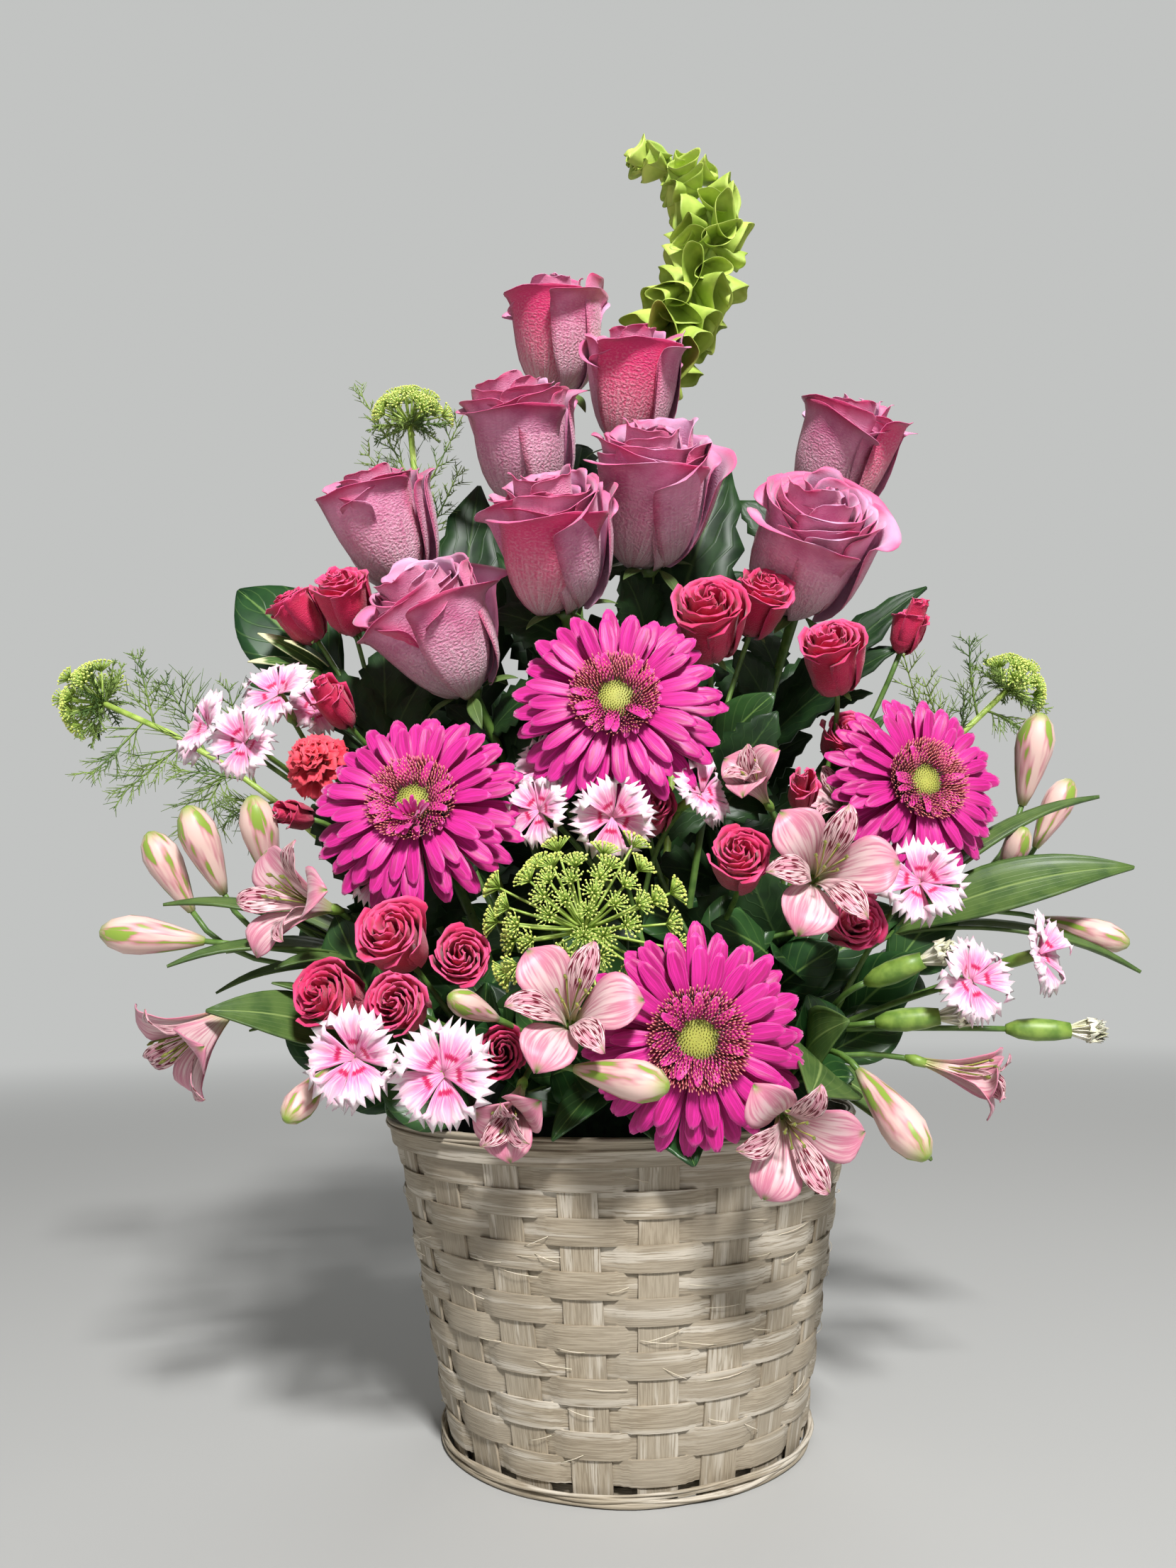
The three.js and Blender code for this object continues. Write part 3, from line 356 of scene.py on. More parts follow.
def twin(model, place=None, tint=None):
    copy = model.copy()
    copy.data = model.data.copy()
    if place:
        copy.data.transform(place)
    if tint is not None:
        set_tint(copy, tint)
    bpy.context.collection.objects.link(copy)
    return copy


def joined(name, parts):
    only(parts[0])
    for part in parts:
        part.select_set(True)
    if len(parts) > 1:
        bpy.ops.object.join()
    whole = bpy.context.object
    whole.name = name
    return whole


def turn(degrees, axis="Z"):
    return Matrix.Rotation(math.radians(degrees), 4, axis)


def shift(x, y, z):
    return Matrix.Translation(Vector((x, y, z)) * MM)


def around(angle, radius=1.0, height=0.0):
    """A point on a circle round the upright axis; the angle is in radians."""
    return Vector((radius * math.cos(angle), radius * math.sin(angle), height))


def toward(side, lift):
    """A direction: side is the compass angle from the front to the right, lift the angle above level."""
    side, lift = math.radians(side), math.radians(lift)
    level = math.cos(lift)
    return Vector((math.sin(side) * level, -math.cos(side) * level, math.sin(lift)))


def frame_at(origin, axis, spin=0.0, scale=1.0):
    """The frame of a bloom in metres: z along its axis, x to its right and y up."""
    z = Vector(axis).normalized()
    x = Vector((0, 0, 1)).cross(z).normalized()
    basis = Matrix((x, z.cross(x), z)).transposed().to_4x4()
    return Matrix.Translation(Vector(origin) * MM) @ basis @ turn(spin) @ Matrix.Scale(scale, 4)


def moved(place, point):
    """A point in millimetres, carried along by a frame in metres."""
    return place @ (point * MM) / MM


def rods(name, paths, material, roundness=1):
    """Round rods through points in millimetres as one mesh; a path has one radius or one per point."""
    curve = bpy.data.curves.new(name, "CURVE")
    curve.dimensions = "3D"
    curve.bevel_depth = MM
    curve.bevel_resolution = roundness
    curve.use_fill_caps = True
    for points, radii in paths:
        spline = curve.splines.new("POLY")
        spline.points.add(len(points) - 1)
        if not isinstance(radii, list):
            radii = [radii] * len(points)
        for knot, point, radius in zip(spline.points, points, radii):
            knot.co = (*(Vector(point) * MM), 1)
            knot.radius = radius
    rod = bpy.data.objects.new(name, curve)
    bpy.context.collection.objects.link(rod)
    only(rod)
    bpy.ops.object.convert(target="MESH")
    rod = bpy.context.object
    with editing(rod):
        bpy.ops.mesh.select_all(action="SELECT")
        bpy.ops.mesh.remove_doubles(threshold=1e-6)
    bpy.ops.object.shade_smooth()
    rod.data.materials.clear()
    rod.data.materials.append(material)
    return rod


def bow(start, control, end, steps):
    """Points of an arc from start to end that leans towards control."""
    a, b, c = Vector(start), Vector(control), Vector(end)
    return interpolate_bezier(a, a.lerp(b, 0.67), c.lerp(b, 0.67), c, steps + 1)


def tapered(count, first, last):
    return [first + (last - first) * i / (count - 1) for i in range(count)]


print("placing helpers ready")

# %% [markdown]
# Light and floor
# A plain pale floor and soft light. The key lamp stands high in front and a little to the right, a
# weak fill stands at the left, and a lamp behind separates the leaves from the ground. The sky is one
# grey, brighter where the camera sees it than where it lights the flowers. The floor fades into that
# grey with the distance, so that no edge shows.

# %% Lamps, sky and floor
LAMPS = {
    "key": {"at": (0.45, -2.0, 1.9), "aim": (0, 0, 0.4), "size": 0.35, "energy": 108},
    "fill": {"at": (-1.8, -1.8, 0.9), "aim": (0, 0, 0.35), "size": 1.6, "energy": 3},
    "back": {"at": (0.5, 1.8, 1.9), "aim": (0, 0, 0.4), "size": 1.4, "energy": 16},
}
SKY_GREY = (0.60, 0.61, 0.60, 1)
SKY_SEEN = 0.9
SKY_LIGHT = 0.25
FLOOR_RADIUS = 9
FLOOR_GREY = (180, 180, 178)
FADING = (0.5, 3.4)
FAR_GREY = (0.54, 0.549, 0.54, 1)
BLACK = (0, 0, 0)

for name, plan in LAMPS.items():
    bpy.ops.object.light_add(type="AREA", location=plan["at"])
    lamp = bpy.context.object
    lamp.name = name
    lamp.data.size = plan["size"]
    lamp.data.energy = plan["energy"]
    lamp.rotation_euler = (Vector(plan["aim"]) - Vector(plan["at"])).to_track_quat("-Z", "Y").to_euler()

sky = bpy.data.worlds.new("sky")
sky.use_nodes = True
sky_nodes = Nodes(sky.node_tree)
seen = sky_nodes.add("ShaderNodeLightPath").outputs["Is Camera Ray"]
glow = sky_nodes.add("ShaderNodeMapRange", {"Value": seen, "To Min": SKY_LIGHT, "To Max": SKY_SEEN})
background = sky.node_tree.nodes["Background"]
sky_nodes.put(SKY_GREY, background.inputs["Color"])
sky_nodes.put(glow.outputs["Result"], background.inputs["Strength"])
bpy.context.scene.world = sky
bpy.context.scene.view_settings.view_transform = "Standard"

floor = added("floor", bpy.ops.mesh.primitive_circle_add, vertices=96, radius=FLOOR_RADIUS, fill_type="NGON")
paint = Look("floor_paint", {"Roughness": 0.9, "Emission Strength": 1, "Specular IOR Level": 0})
far = paint.spread(paint.vector("LENGTH", paint.space())["Value"], *FADING)
paint.put(paint.layered(BLACK, (far, FAR_GREY)), paint.inputs["Emission Color"])
floor.data.materials.append(paint.finish(paint.layered(FLOOR_GREY, (far, BLACK))))
print("lamps", list(LAMPS))

# %% [markdown]
# What every petal and leaf shares
# A petal is painted along its own length: a pale foot, veins that run from foot to tip, and a rim of
# another colour. That is the same recipe for each flower, so it is one node group. It reads the
# petal's UV map, where U goes across and V from root to tip, and the colours stay in each material.

# %% The petal map, a node group
MAP_DEFAULTS = {"Veins": 24, "Vein Bend": 0, "Rim Start": 0.7}
MAP_RESULTS = ("Along", "Across", "Rim", "Vein")


def build_petal_map():
    group = bpy.data.node_groups.new("petal_map", "ShaderNodeTree")
    for label, value in MAP_DEFAULTS.items():
        socket = group.interface.new_socket(label, in_out="INPUT", socket_type="NodeSocketFloat")
        socket.default_value = value
    for label in MAP_RESULTS:
        group.interface.new_socket(label, in_out="OUTPUT", socket_type="NodeSocketFloat")
    nodes = Nodes(group)
    given = nodes.add("NodeGroupInput").outputs
    result = nodes.add("NodeGroupOutput").inputs
    uv = nodes.uv()
    sideways, along, _ = nodes.add("ShaderNodeSeparateXYZ", {0: uv}).outputs
    across = nodes.math("ABSOLUTE", nodes.math("MULTIPLY_ADD", sideways, 2.0, -1.0))
    lane = nodes.math("SUBTRACT", along, nodes.times(across, given["Vein Bend"]))
    values = {0: nodes.times(sideways, given["Veins"]), 1: nodes.times(lane, 2.2)}
    vein = nodes.noise(nodes.add("ShaderNodeCombineXYZ", values).outputs[0], 1, 2)
    furthest = nodes.math("MAXIMUM", nodes.times(across, 0.9), along)
    wavering = nodes.math("MULTIPLY_ADD", nodes.noise(uv, 5, 2), 0.16, furthest)
    rim = nodes.spread(wavering, given["Rim Start"], 1.1)
    for socket, value in zip(result, (along, across, rim, vein)):
        nodes.put(value, socket)
    return group


PETAL_MAP = build_petal_map()


def petal_map(look, *given):
    """Along, across, rim and vein of the point; given are the veins, their bend and the rim's start."""
    values = dict(zip(MAP_DEFAULTS, (*given, *tuple(MAP_DEFAULTS.values())[len(given):])))
    return look.add("ShaderNodeGroup", values, node_tree=PETAL_MAP).outputs


print("petal map", len(PETAL_MAP.nodes), "nodes")

# %% [markdown]
# Petal finishes
# Petals are soft: a high roughness, a little sheen at the edge and a touch of light let through. The
# rose is lavender, whitish and crinkled at its foot, with hot pink rims, and the crests of its crinkles
# carry a painted highlight in the pale foot colour. Tint moves a petal from lavender towards hot pink,
# because some of the outer petals show their bright side.

# %% Rose petals
def soft_look(name, roughness, sheen=0.25):
    return Look(name, {"Roughness": roughness, "Sheen Weight": sheen, "Subsurface Weight": 0.12,
                       "Subsurface Radius": (0.004, 0.0015, 0.002), "Specular IOR Level": 0.3})


def rose_material(name, body, shade, foot, rim, bright, wrinkles=1.0):
    look = soft_look(name, 0.55)
    along, _, edge, vein = petal_map(look, 34, 0.25, 0.75)
    mottle = look.spread(look.crinkle(60), 0.35, 0.7)
    streaks = look.times(look.spread(along, 0.66, 0.0), look.spread(vein, 0.64, 0.3, 0.35, 1))
    fold = look.strokes(32, 74, 2)
    low_down = look.spread(along, 0.9, 0.3, 0.2, 1)
    # The crests of the crinkles, low on the petal, get a painted highlight in the pale foot colour.
    ridge_highlight = look.times(look.spread(fold, 0.42, 0.72, 0, 0.3 * wrinkles), low_down)
    patch = look.times(edge, look.spread(look.crinkle(26, 1), 0.36, 0.54, 0.2, 1))
    colour = look.layered(body, (mottle, shade), (look.spread(vein, 0.52, 0.7, 0, 0.22), shade),
                          (look.tint(), bright), (streaks, foot), (ridge_highlight, foot), (patch, rim))
    return look.finish(colour, look.times(fold, low_down), 0.95 * wrinkles, 1.5)


LAVENDER = rose_material("lavender_outside", (220, 146, 180), (190, 96, 140), (246, 226, 228),
                         (190, 36, 96), (222, 34, 108))
LAVENDER_INSIDE = rose_material("lavender_inside", (228, 188, 218), (208, 156, 194), (216, 158, 190),
                                (214, 90, 140), (228, 120, 170), 0.4)
CRIMSON = rose_material("crimson_outside", (206, 20, 80), (160, 6, 50), (196, 44, 84),
                        (220, 44, 104), (222, 40, 100), 0.6)
CRIMSON_INSIDE = rose_material("crimson_inside", (222, 40, 104), (186, 12, 70), (150, 0, 40),
                               (232, 84, 138), (222, 40, 100), 0.3)
SCARLET = rose_material("carnation_petal", (228, 32, 74), (188, 10, 48), (170, 10, 44),
                        (240, 80, 100), (236, 70, 84), 0.3)
print("rose finishes", LAVENDER.name, CRIMSON.name, SCARLET.name)

# %% [markdown]
# The other flowers
# The daisy's rays are ribbed, the pink has a dark ring broken up by its veins and a pale toothed
# edge, and the lily's narrow petals carry dark dashes. All of them read the same petal map.

# %% Daisy, pink and lily finishes
def gerbera_material():
    look = soft_look("gerbera_ray", 0.42, 0.35)
    along, _, edge, vein = petal_map(look, 14, 0, 0.93)
    colour = look.layered((206, 20, 140), (look.spread(vein, 0.4, 0.65), (160, 4, 96)),
                          (look.spread(along, 0.5, 0.0), (150, 4, 62)), (look.tint(0.5), (226, 54, 162)),
                          (look.times(edge, 0.5), (236, 84, 172)))
    return look.finish(colour, vein, 0.35)


def floret_material(name, foot, tip, start=0.35, end=0.9):
    look = soft_look(name, 0.55)
    along = petal_map(look)["Along"]
    dust = look.spread(look.crinkle(300), 0.3, 0.8, 0, 0.35)
    return look.finish(look.layered(foot, (look.spread(along, start, end), tip), (dust, foot)))


def pink_material():
    look = soft_look("fringed_petal", 0.6, 0.3)
    along, across, _, vein = petal_map(look, 20, 0, 0.95)
    ragged = look.math("MULTIPLY_ADD", vein, 0.22, along)
    blush = look.times(look.spread(ragged, 0.92, 0.5), look.spread(vein, 0.35, 0.6, 0.5, 1))
    arc = look.times(look.spread(ragged, 0.34, 0.39), look.spread(ragged, 0.5, 0.44))
    ring = look.times(arc, look.spread(across, 0.75, 0.5))
    colour = look.layered((246, 230, 234), (look.spread(vein, 0.45, 0.62), (240, 190, 212)),
                          (blush, (228, 104, 166)), (ring, (190, 16, 84)))
    return look.finish(colour, vein, 0.3)


def lily_material(name, streaked):
    look = soft_look(name, 0.42, 0.15)
    along, across, edge, vein = petal_map(look, 16, 0, 0.9 if streaked else 0.55)
    colour = look.layered((226, 196, 196), (look.spread(vein, 0.42, 0.66), (200, 130, 148)),
                          (look.times(edge, 0.8), (206, 104, 140)))
    if streaked:
        band = look.times(look.spread(along, 0.3, 0.45), look.spread(along, 0.97, 0.85))
        streak = look.times(look.spread(look.strokes(24, 8, 0), 0.54, 0.58), band)
        colour = look.layered(colour, (streak, (104, 12, 38)))
    green = look.times(look.spread(along, 0.82, 1.0), look.spread(across, 0.55, 0.1))
    colour = look.layered(colour, (look.spread(along, 0.3, 0.0), (176, 186, 110)), (green, (110, 150, 50)))
    return look.finish(colour, vein, 0.25)


def bud_material():
    look = soft_look("lily_bud", 0.4, 0.1)
    along, _, _, vein = petal_map(look, 9)
    ends = look.math("MAXIMUM", look.spread(along, 0.66, 0.96), look.spread(along, 0.3, 0.05))
    green = look.math("MAXIMUM", ends, look.spread(vein, 0.54, 0.6))
    colour = look.layered((230, 196, 186), (look.spread(vein, 0.44, 0.6), (200, 120, 136)),
                          (green, (136, 162, 62)))
    return look.finish(colour, vein, 0.3)


GERBERA = gerbera_material()
DISC_FLORET = floret_material("disc_floret", (118, 4, 36), (242, 148, 138), 0.7, 1.0)
DISC_EYE = floret_material("disc_eye", (108, 112, 38), (170, 170, 76))
UMBEL_FLORET = floret_material("umbel_floret", (206, 218, 96), (242, 244, 176), 0.1, 0.8)
PINK = pink_material()
LILY = lily_material("lily_tepal", False)
STREAKED = lily_material("lily_streaked_tepal", True)
BUD = bud_material()
print("materials so far", len(bpy.data.materials))

# %% [markdown]
# Greens
# Leaves are waxy, with a pale midrib and side veins that leave it at a slant: the vein lines are
# waves whose crests bend with the distance from the midrib. Stems, cups and fibres are plainer, with
# a mottle and a fine grain.

# %% Leaf and stem finishes
GREEN_DEPTH = (0.001, 0.002, 0.0005)


def leaf_material(name, body, shade, rib, roughness, veins, vein_bend, edge=None, slanted=1.0):
    look = Look(name, {"Roughness": roughness, "Specular IOR Level": 0.32, "Subsurface Weight": 0.05,
                       "Subsurface Radius": GREEN_DEPTH})
    along, across, rim, _ = petal_map(look, 24, 0, 0.8)
    lane = look.math("SUBTRACT", look.times(along, slanted), look.times(across, vein_bend))
    line = look.spread(look.math("SINE", look.times(lane, veins * math.tau)), 0.86, 1.0)
    colour = look.layered(body, (look.spread(look.crinkle(90), 0.35, 0.7), shade), (look.tint(0.55), rib),
                          (look.times(line, 0.22), rib), (look.spread(across, 0.06, 0.01), rib))
    if edge:
        colour = look.layered(colour, (look.spread(rim, 0.25, 0.6), edge))
    return look.finish(colour, look.math("ADD", line, look.spread(across, 0.12, 0.0)), 0.3)


def mottled(name, body, shade, roughness, scale=140, inside=0.06, edge=0.32, finer=3, depth=0.2):
    """A plain finish of two colours, with a grain that is finer than the mottle."""
    constants = {"Subsurface Weight": inside, "Subsurface Radius": GREEN_DEPTH} if inside else {}
    look = Look(name, {"Roughness": roughness, **constants})
    colour = look.layered(body, (look.spread(look.crinkle(scale), edge, 1 - edge), shade))
    return look.finish(colour, look.crinkle(finer * scale), depth)


ROSE_LEAF = leaf_material("rose_leaf", (34, 62, 30), (20, 42, 22), (62, 88, 46), 0.46, 7, 0.35)
GLOSSY_LEAF = leaf_material("glossy_leaf", (36, 72, 34), (24, 54, 28), (100, 132, 68), 0.34, 6, 0.4)
LILY_LEAF = leaf_material("lily_leaf", (84, 108, 54), (60, 86, 42), (126, 146, 84), 0.42, 5, 1.0, slanted=0.0)
PALE_EDGE_LEAF = leaf_material("pale_edged_leaf", (70, 104, 50), (52, 84, 44), (150, 170, 96), 0.4, 5, 0.3,
                               edge=(214, 214, 170))
STEM = mottled("stem", (98, 130, 58), (70, 102, 42), 0.42)
CALYX = mottled("calyx", (136, 164, 72), (92, 126, 46), 0.45)
FRINGE = mottled("pale_fringe", (238, 234, 220), (214, 212, 180), 0.6)
FIBRE = mottled("splint_fibre", (226, 216, 196), (206, 194, 170), 0.6)
UMBEL_STEM = mottled("umbel_stem", (184, 206, 104), (144, 174, 70), 0.45)
FEATHER = mottled("feather", (136, 160, 78), (76, 104, 48), 0.5, 50)
BELL = mottled("bell_cup", (194, 212, 100), (150, 174, 68), 0.62, 60)
print("materials so far", len(bpy.data.materials))

# %% [markdown]
# Leaves
# A leaf blank is one unit long and one wide, and is stretched to its real size when it is placed. Its
# rows give the outline: a lance for the lily, an oval for the glossy leaves, teeth for the rose.

# %% Leaf patterns
UNIT = 1000
LEAF_ARCH = 400
LEAF_FOLD = 21
LEAF_THICKNESS = 14


def leaf_pattern(kind, outline, material, teeth=0.0, columns=4):
    last = len(outline) - 1
    sheet = blank(f"{kind}_leaf", columns, last)
    rows = []
    for i, share in enumerate(outline):
        along = i / last
        bite = 1 - teeth * (i % 2)
        rows.append((0.5 * share * bite * UNIT, along * UNIT, LEAF_ARCH * along * (1 - along), 0))
    shape_flat(sheet, rows)
    with editing(sheet):
        for column in (-1.0, -0.5, 0.5, 1.0):
            nudge(sheet, lambda across, along: abs(across - column) < 0.01 and 0 < along < 1,
                  move=(0, 0, LEAF_FOLD * abs(column)))
    return finish_sheet(sheet, material, thickness=LEAF_THICKNESS, levels=0 if teeth else 1)


LEAVES = {
    "lance": leaf_pattern("lance", [0.08, 0.4, 0.82, 1.0, 0.94, 0.72, 0.42, 0.04], LILY_LEAF),
    "oval": leaf_pattern("oval", [0.06, 0.55, 0.88, 1.0, 0.98, 0.84, 0.52, 0.06], GLOSSY_LEAF),
    "saw": leaf_pattern("saw", [0.05, 0.4, 0.74, 0.8, 1.0, 0.96, 1.06, 0.94, 0.98, 0.8, 0.8, 0.58, 0.5,
                                0.28, 0.04], ROSE_LEAF, teeth=0.13),
    "broad": leaf_pattern("broad", [0.06, 0.5, 0.86, 1.0, 0.96, 0.78, 0.46, 0.04], LILY_LEAF, columns=6),
    "small": leaf_pattern("small", [0.06, 0.6, 0.95, 1.0, 0.8, 0.05], PALE_EDGE_LEAF),
}


def leaf(kind, root, tip, width, face=(0, 0, 1), tint=0.0):
    """A leaf from root to tip, in millimetres; face is the way that its upper side looks."""
    root, tip = Vector(root), Vector(tip)
    y = (tip - root).normalized()
    z = Vector(face)
    z = (z - y * z.dot(y)).normalized()
    basis = Matrix((y.cross(z), y, z)).transposed().to_4x4()
    length = (tip - root).length * MM
    size = Matrix.Diagonal((width * MM, length, length, 1))
    return twin(LEAVES[kind], Matrix.Translation(root * MM) @ basis @ size, tint)


print("leaf patterns", list(LEAVES))

# %% [markdown]
# Stems in the foam
# Every stem leaves the foam through its own hole and fans out to its bloom. The rule is the one that
# placed the solid stems: high blooms leave near the middle, low ones at the shoulder.

# %% Stem paths
FOAM_TOP = 178
FOAM_SHOULDER = [(40, 178), (64, 166), (74, 150)]
FOAM_RIM = 150
FURTHEST_HOLE = 60
DEPTH_IN_FOAM = 28
ROSE_STEM = (2.4, 3.2, 6.5)  # radius of the stem, its neck and the cup
GERBERA_STEM = (2.6, 3.8, 8)
SPRAY_STEM = 2.0
FORK_DEPTH = 1.6
TWIG = 1.4
LEAF_STEM = 1.8


def foam_top_at(radius):
    if radius < FOAM_SHOULDER[0][0]:
        return FOAM_TOP
    a, b = FOAM_SHOULDER[:2] if radius < FOAM_SHOULDER[1][0] else FOAM_SHOULDER[1:]
    return a[1] + (radius - a[0]) / (b[0] - a[0]) * (b[1] - a[1])


def entry_for(target, swing):
    reach = math.hypot(target.x, target.y)
    radius = FURTHEST_HOLE * min(1, 1.25 * reach / max(target.z - FOAM_RIM, 1))
    return around(math.atan2(target.y, target.x) + math.radians(swing), radius, foam_top_at(radius))


def stem_path(seat, axis, swing=0, bend=0.4):
    """Points of a stem from the foam to its seat, where it runs along the axis."""
    seat, out = Vector(seat), Vector(axis).normalized()
    rough = entry_for(seat, swing)
    control = seat - out * (seat - rough).length * bend
    entry = entry_for(control, swing)
    into = (control - entry).normalized()
    surface = entry + into * 6
    middle = surface + into * (control - surface).length * 0.5
    return [entry - into * DEPTH_IN_FOAM, *interpolate_bezier(surface, middle, control, seat, 9)]


def path_at(path, share):
    """The point at a share of a path's length."""
    lengths = [(b - a).length for a, b in zip(path, path[1:])]
    rest = share * sum(lengths)
    for a, b, length in zip(path, path[1:], lengths):
        if rest <= length:
            return a.lerp(b, rest / length)
        rest -= length
    return path[-1].copy()


def flower_stem(name, path, end, radii):
    """A stem that widens at its neck to the cup under the flower."""
    radius, neck, cup = radii
    return rods(name, [([*path, end], [radius] * (len(path) - 1) + [neck, cup])], STEM, 2)


print("the lowest stems enter the foam at", [round(c) for c in entry_for(Vector((0, -200, 160)), 0)])

# %% [markdown]
# The lavender roses
# A rose opens from a tight heart to broad outer petals. Each ring of petals is one pattern: rows of
# share of the wrap, radius and height, wrapped round the axis. The rims of the outer ones flare a
# little and fold down along a slant, and one corner stands out in a point. A ring's petals lie over
# each other like roof tiles, so each is turned a little about its own middle.

# %% Rose petal patterns
FLARED = [(0.26, 7.5, 0), (0.62, 16.5, 6), (0.9, 23.5, 18), (1.0, 27.4, 37), (1.0, 28.2, 51),
          (0.99, 29.4, 57), (0.9, 31.2, 60)]
UPRIGHT = [(0.26, 7.5, 0), (0.62, 16, 6), (0.9, 22.5, 18), (1.0, 25.8, 38), (1.0, 26.4, 55),
           (0.98, 27.2, 61), (0.86, 28.6, 64)]
MIDDLE = [(0.4, 6, 2), (0.8, 15, 12), (1.0, 20.5, 28), (1.0, 22, 44), (0.98, 22, 57), (0.9, 22.5, 63),
          (0.66, 24, 63.5)]
INNER = [(0.5, 5, 6), (0.9, 10, 20), (1.0, 13.5, 36), (1.0, 14, 50), (0.95, 13.5, 60), (0.8, 14, 64.5),
         (0.5, 15, 65)]
HEART = [(0.6, 3, 10), (1.0, 6, 26), (1.0, 8, 42), (1.0, 8, 54), (0.95, 7, 62), (0.8, 6.5, 65),
         (0.5, 7, 65)]
RINGS = {  # degrees of wrap, pattern, and how far a corner stands out
    "flared": (118, FLARED, 1.09), "upright": (122, UPRIGHT, 1.07), "middle": (140, MIDDLE, 1.03),
    "inner": (170, INNER, 1.0), "heart": (250, HEART, 1.0),
}


def rose_petal(name, wrap, pattern, corner, seed, finishes, levels, thickness):
    """One petal; its rim folds down along a slant to one side, and that corner stands out in a point."""
    side = 1 if seed % 2 else -1
    point = corner ** 0.5
    sheet = blank(name, 6, len(pattern) - 1)
    shape_wrapped(sheet, wrap, pattern)
    with editing(sheet):
        nudge(sheet, lambda across, along: along > 0.8 and abs(across) > 0.6, (corner, corner, 1),
              (0, 0, -2.4 if corner > 1.03 else 0))
        for low, edge in ((0.9, -0.1), (0.8, 0.3), (0.6, 0.6), (0.8, 0.9)):
            nudge(sheet, lambda across, along: along > low and across * side > edge, (point, point, 1),
                  (0, 0, -17 * (corner - 1)))
        nudge(sheet, lambda across, along: along > 0.7 and across * side < -0.6, (0.96, 0.96, 1), (0, 0, 1.5))
    ruffle(sheet, 1.3, seed, 0.6)
    return finish_sheet(sheet, finishes[0], thickness, levels, finishes[1])


def rose_patterns(prefix, finishes, levels, thickness):
    """Two petals for every ring of a rose."""
    return {ring: [rose_petal(f"{prefix}_{ring}_{k}", *shape, 2 * i + k, finishes,
                              0 if ring == "heart" else levels, thickness) for k in range(2)]
            for i, (ring, shape) in enumerate(RINGS.items())}


ROSE_PETALS = rose_patterns("rose", (LAVENDER, LAVENDER_INSIDE), 1, 0.26)
print("rose petals", sum(len(pair) for pair in ROSE_PETALS.values()))

# %% [markdown]
# Opening a rose
# The rings are set from the outside in, each turned against the last, and every petal leans and
# tilts by a little chance. Five blooms are made this way, three open and two more closed; two of them
# show the bright side of one outer petal.

# %% Rose blooms
ROSE_HEIGHT = 66
PETAL_MIDDLE = Vector((0, -27, 34))
TILE_TURN = 9


def rose_bloom(name, petals, plan, seed, bright=0.0):
    """plan lists ring, count, size, lean and slant of the rim; bright tints the first petal."""
    chance = random.Random(seed)
    parts = []
    start = 0
    for ring, count, size, lean, slant in plan:
        for i in range(count):
            first = not parts
            angle = start + 360 * i / count + (0 if first else chance.uniform(-7, 7))
            tipped = slant * chance.uniform(0.5, 1.3) * (1 if first else chance.choice((-1, 1)))
            tile = shift(*PETAL_MIDDLE) @ turn(TILE_TURN) @ turn(tipped, "Y") @ shift(*-PETAL_MIDDLE)
            height = size if size < 0.8 else 0.5 * (1 + size)
            tall = Matrix.Diagonal((size, size, height * chance.uniform(0.96, 1.03), 1))
            place = turn(angle) @ turn(lean * chance.uniform(0.4, 1), "X") @ tall @ tile
            tint = bright if first and bright else chance.uniform(0, 0.22)
            parts.append(twin(petals[ring][i % 2], place, tint))
        start += 180 / count + chance.uniform(-12, 12)
    return joined(name, parts)


OPEN_ROSE = [("flared", 3, 1.0, 3, 14), ("upright", 3, 0.98, 2, 12), ("upright", 5, 0.88, 0, 6),
             ("middle", 5, 1.0, 0, 5), ("middle", 5, 0.85, -1, 4), ("inner", 4, 1.1, 0, 3),
             ("inner", 3, 0.88, 0, 2), ("heart", 3, 1.0, 0, 0)]
CLOSED_ROSE = [("upright", 3, 0.99, 2, 14), ("flared", 2, 0.96, 1, 12), ("upright", 4, 0.87, -2, 6),
               ("middle", 5, 0.95, -2, 5), ("middle", 4, 0.82, -2, 3), ("inner", 3, 1.0, 0, 2),
               ("heart", 3, 1.0, 0, 0)]
ROSE_MODELS = [(OPEN_ROSE, 3, 0), (CLOSED_ROSE, 8, 0), (OPEN_ROSE, 14, 0), (CLOSED_ROSE, 21, 0.95),
               (OPEN_ROSE, 27, 0.85)]
ROSE_BLOOMS = [rose_bloom(f"rose_model_{k}", ROSE_PETALS, *model) for k, model in enumerate(ROSE_MODELS)]
print("a rose has", len(ROSE_BLOOMS[0].data.polygons), "faces")

# %% [markdown]
# Placing the roses
# Each rose is a bloom, its curled sepals, its stem and the leaves on it. The table repeats the places
# of the solids: the middle of the goblet, the way it opens and its size. A leaf is a big blade and two
# smaller ones beside it, all toothed.

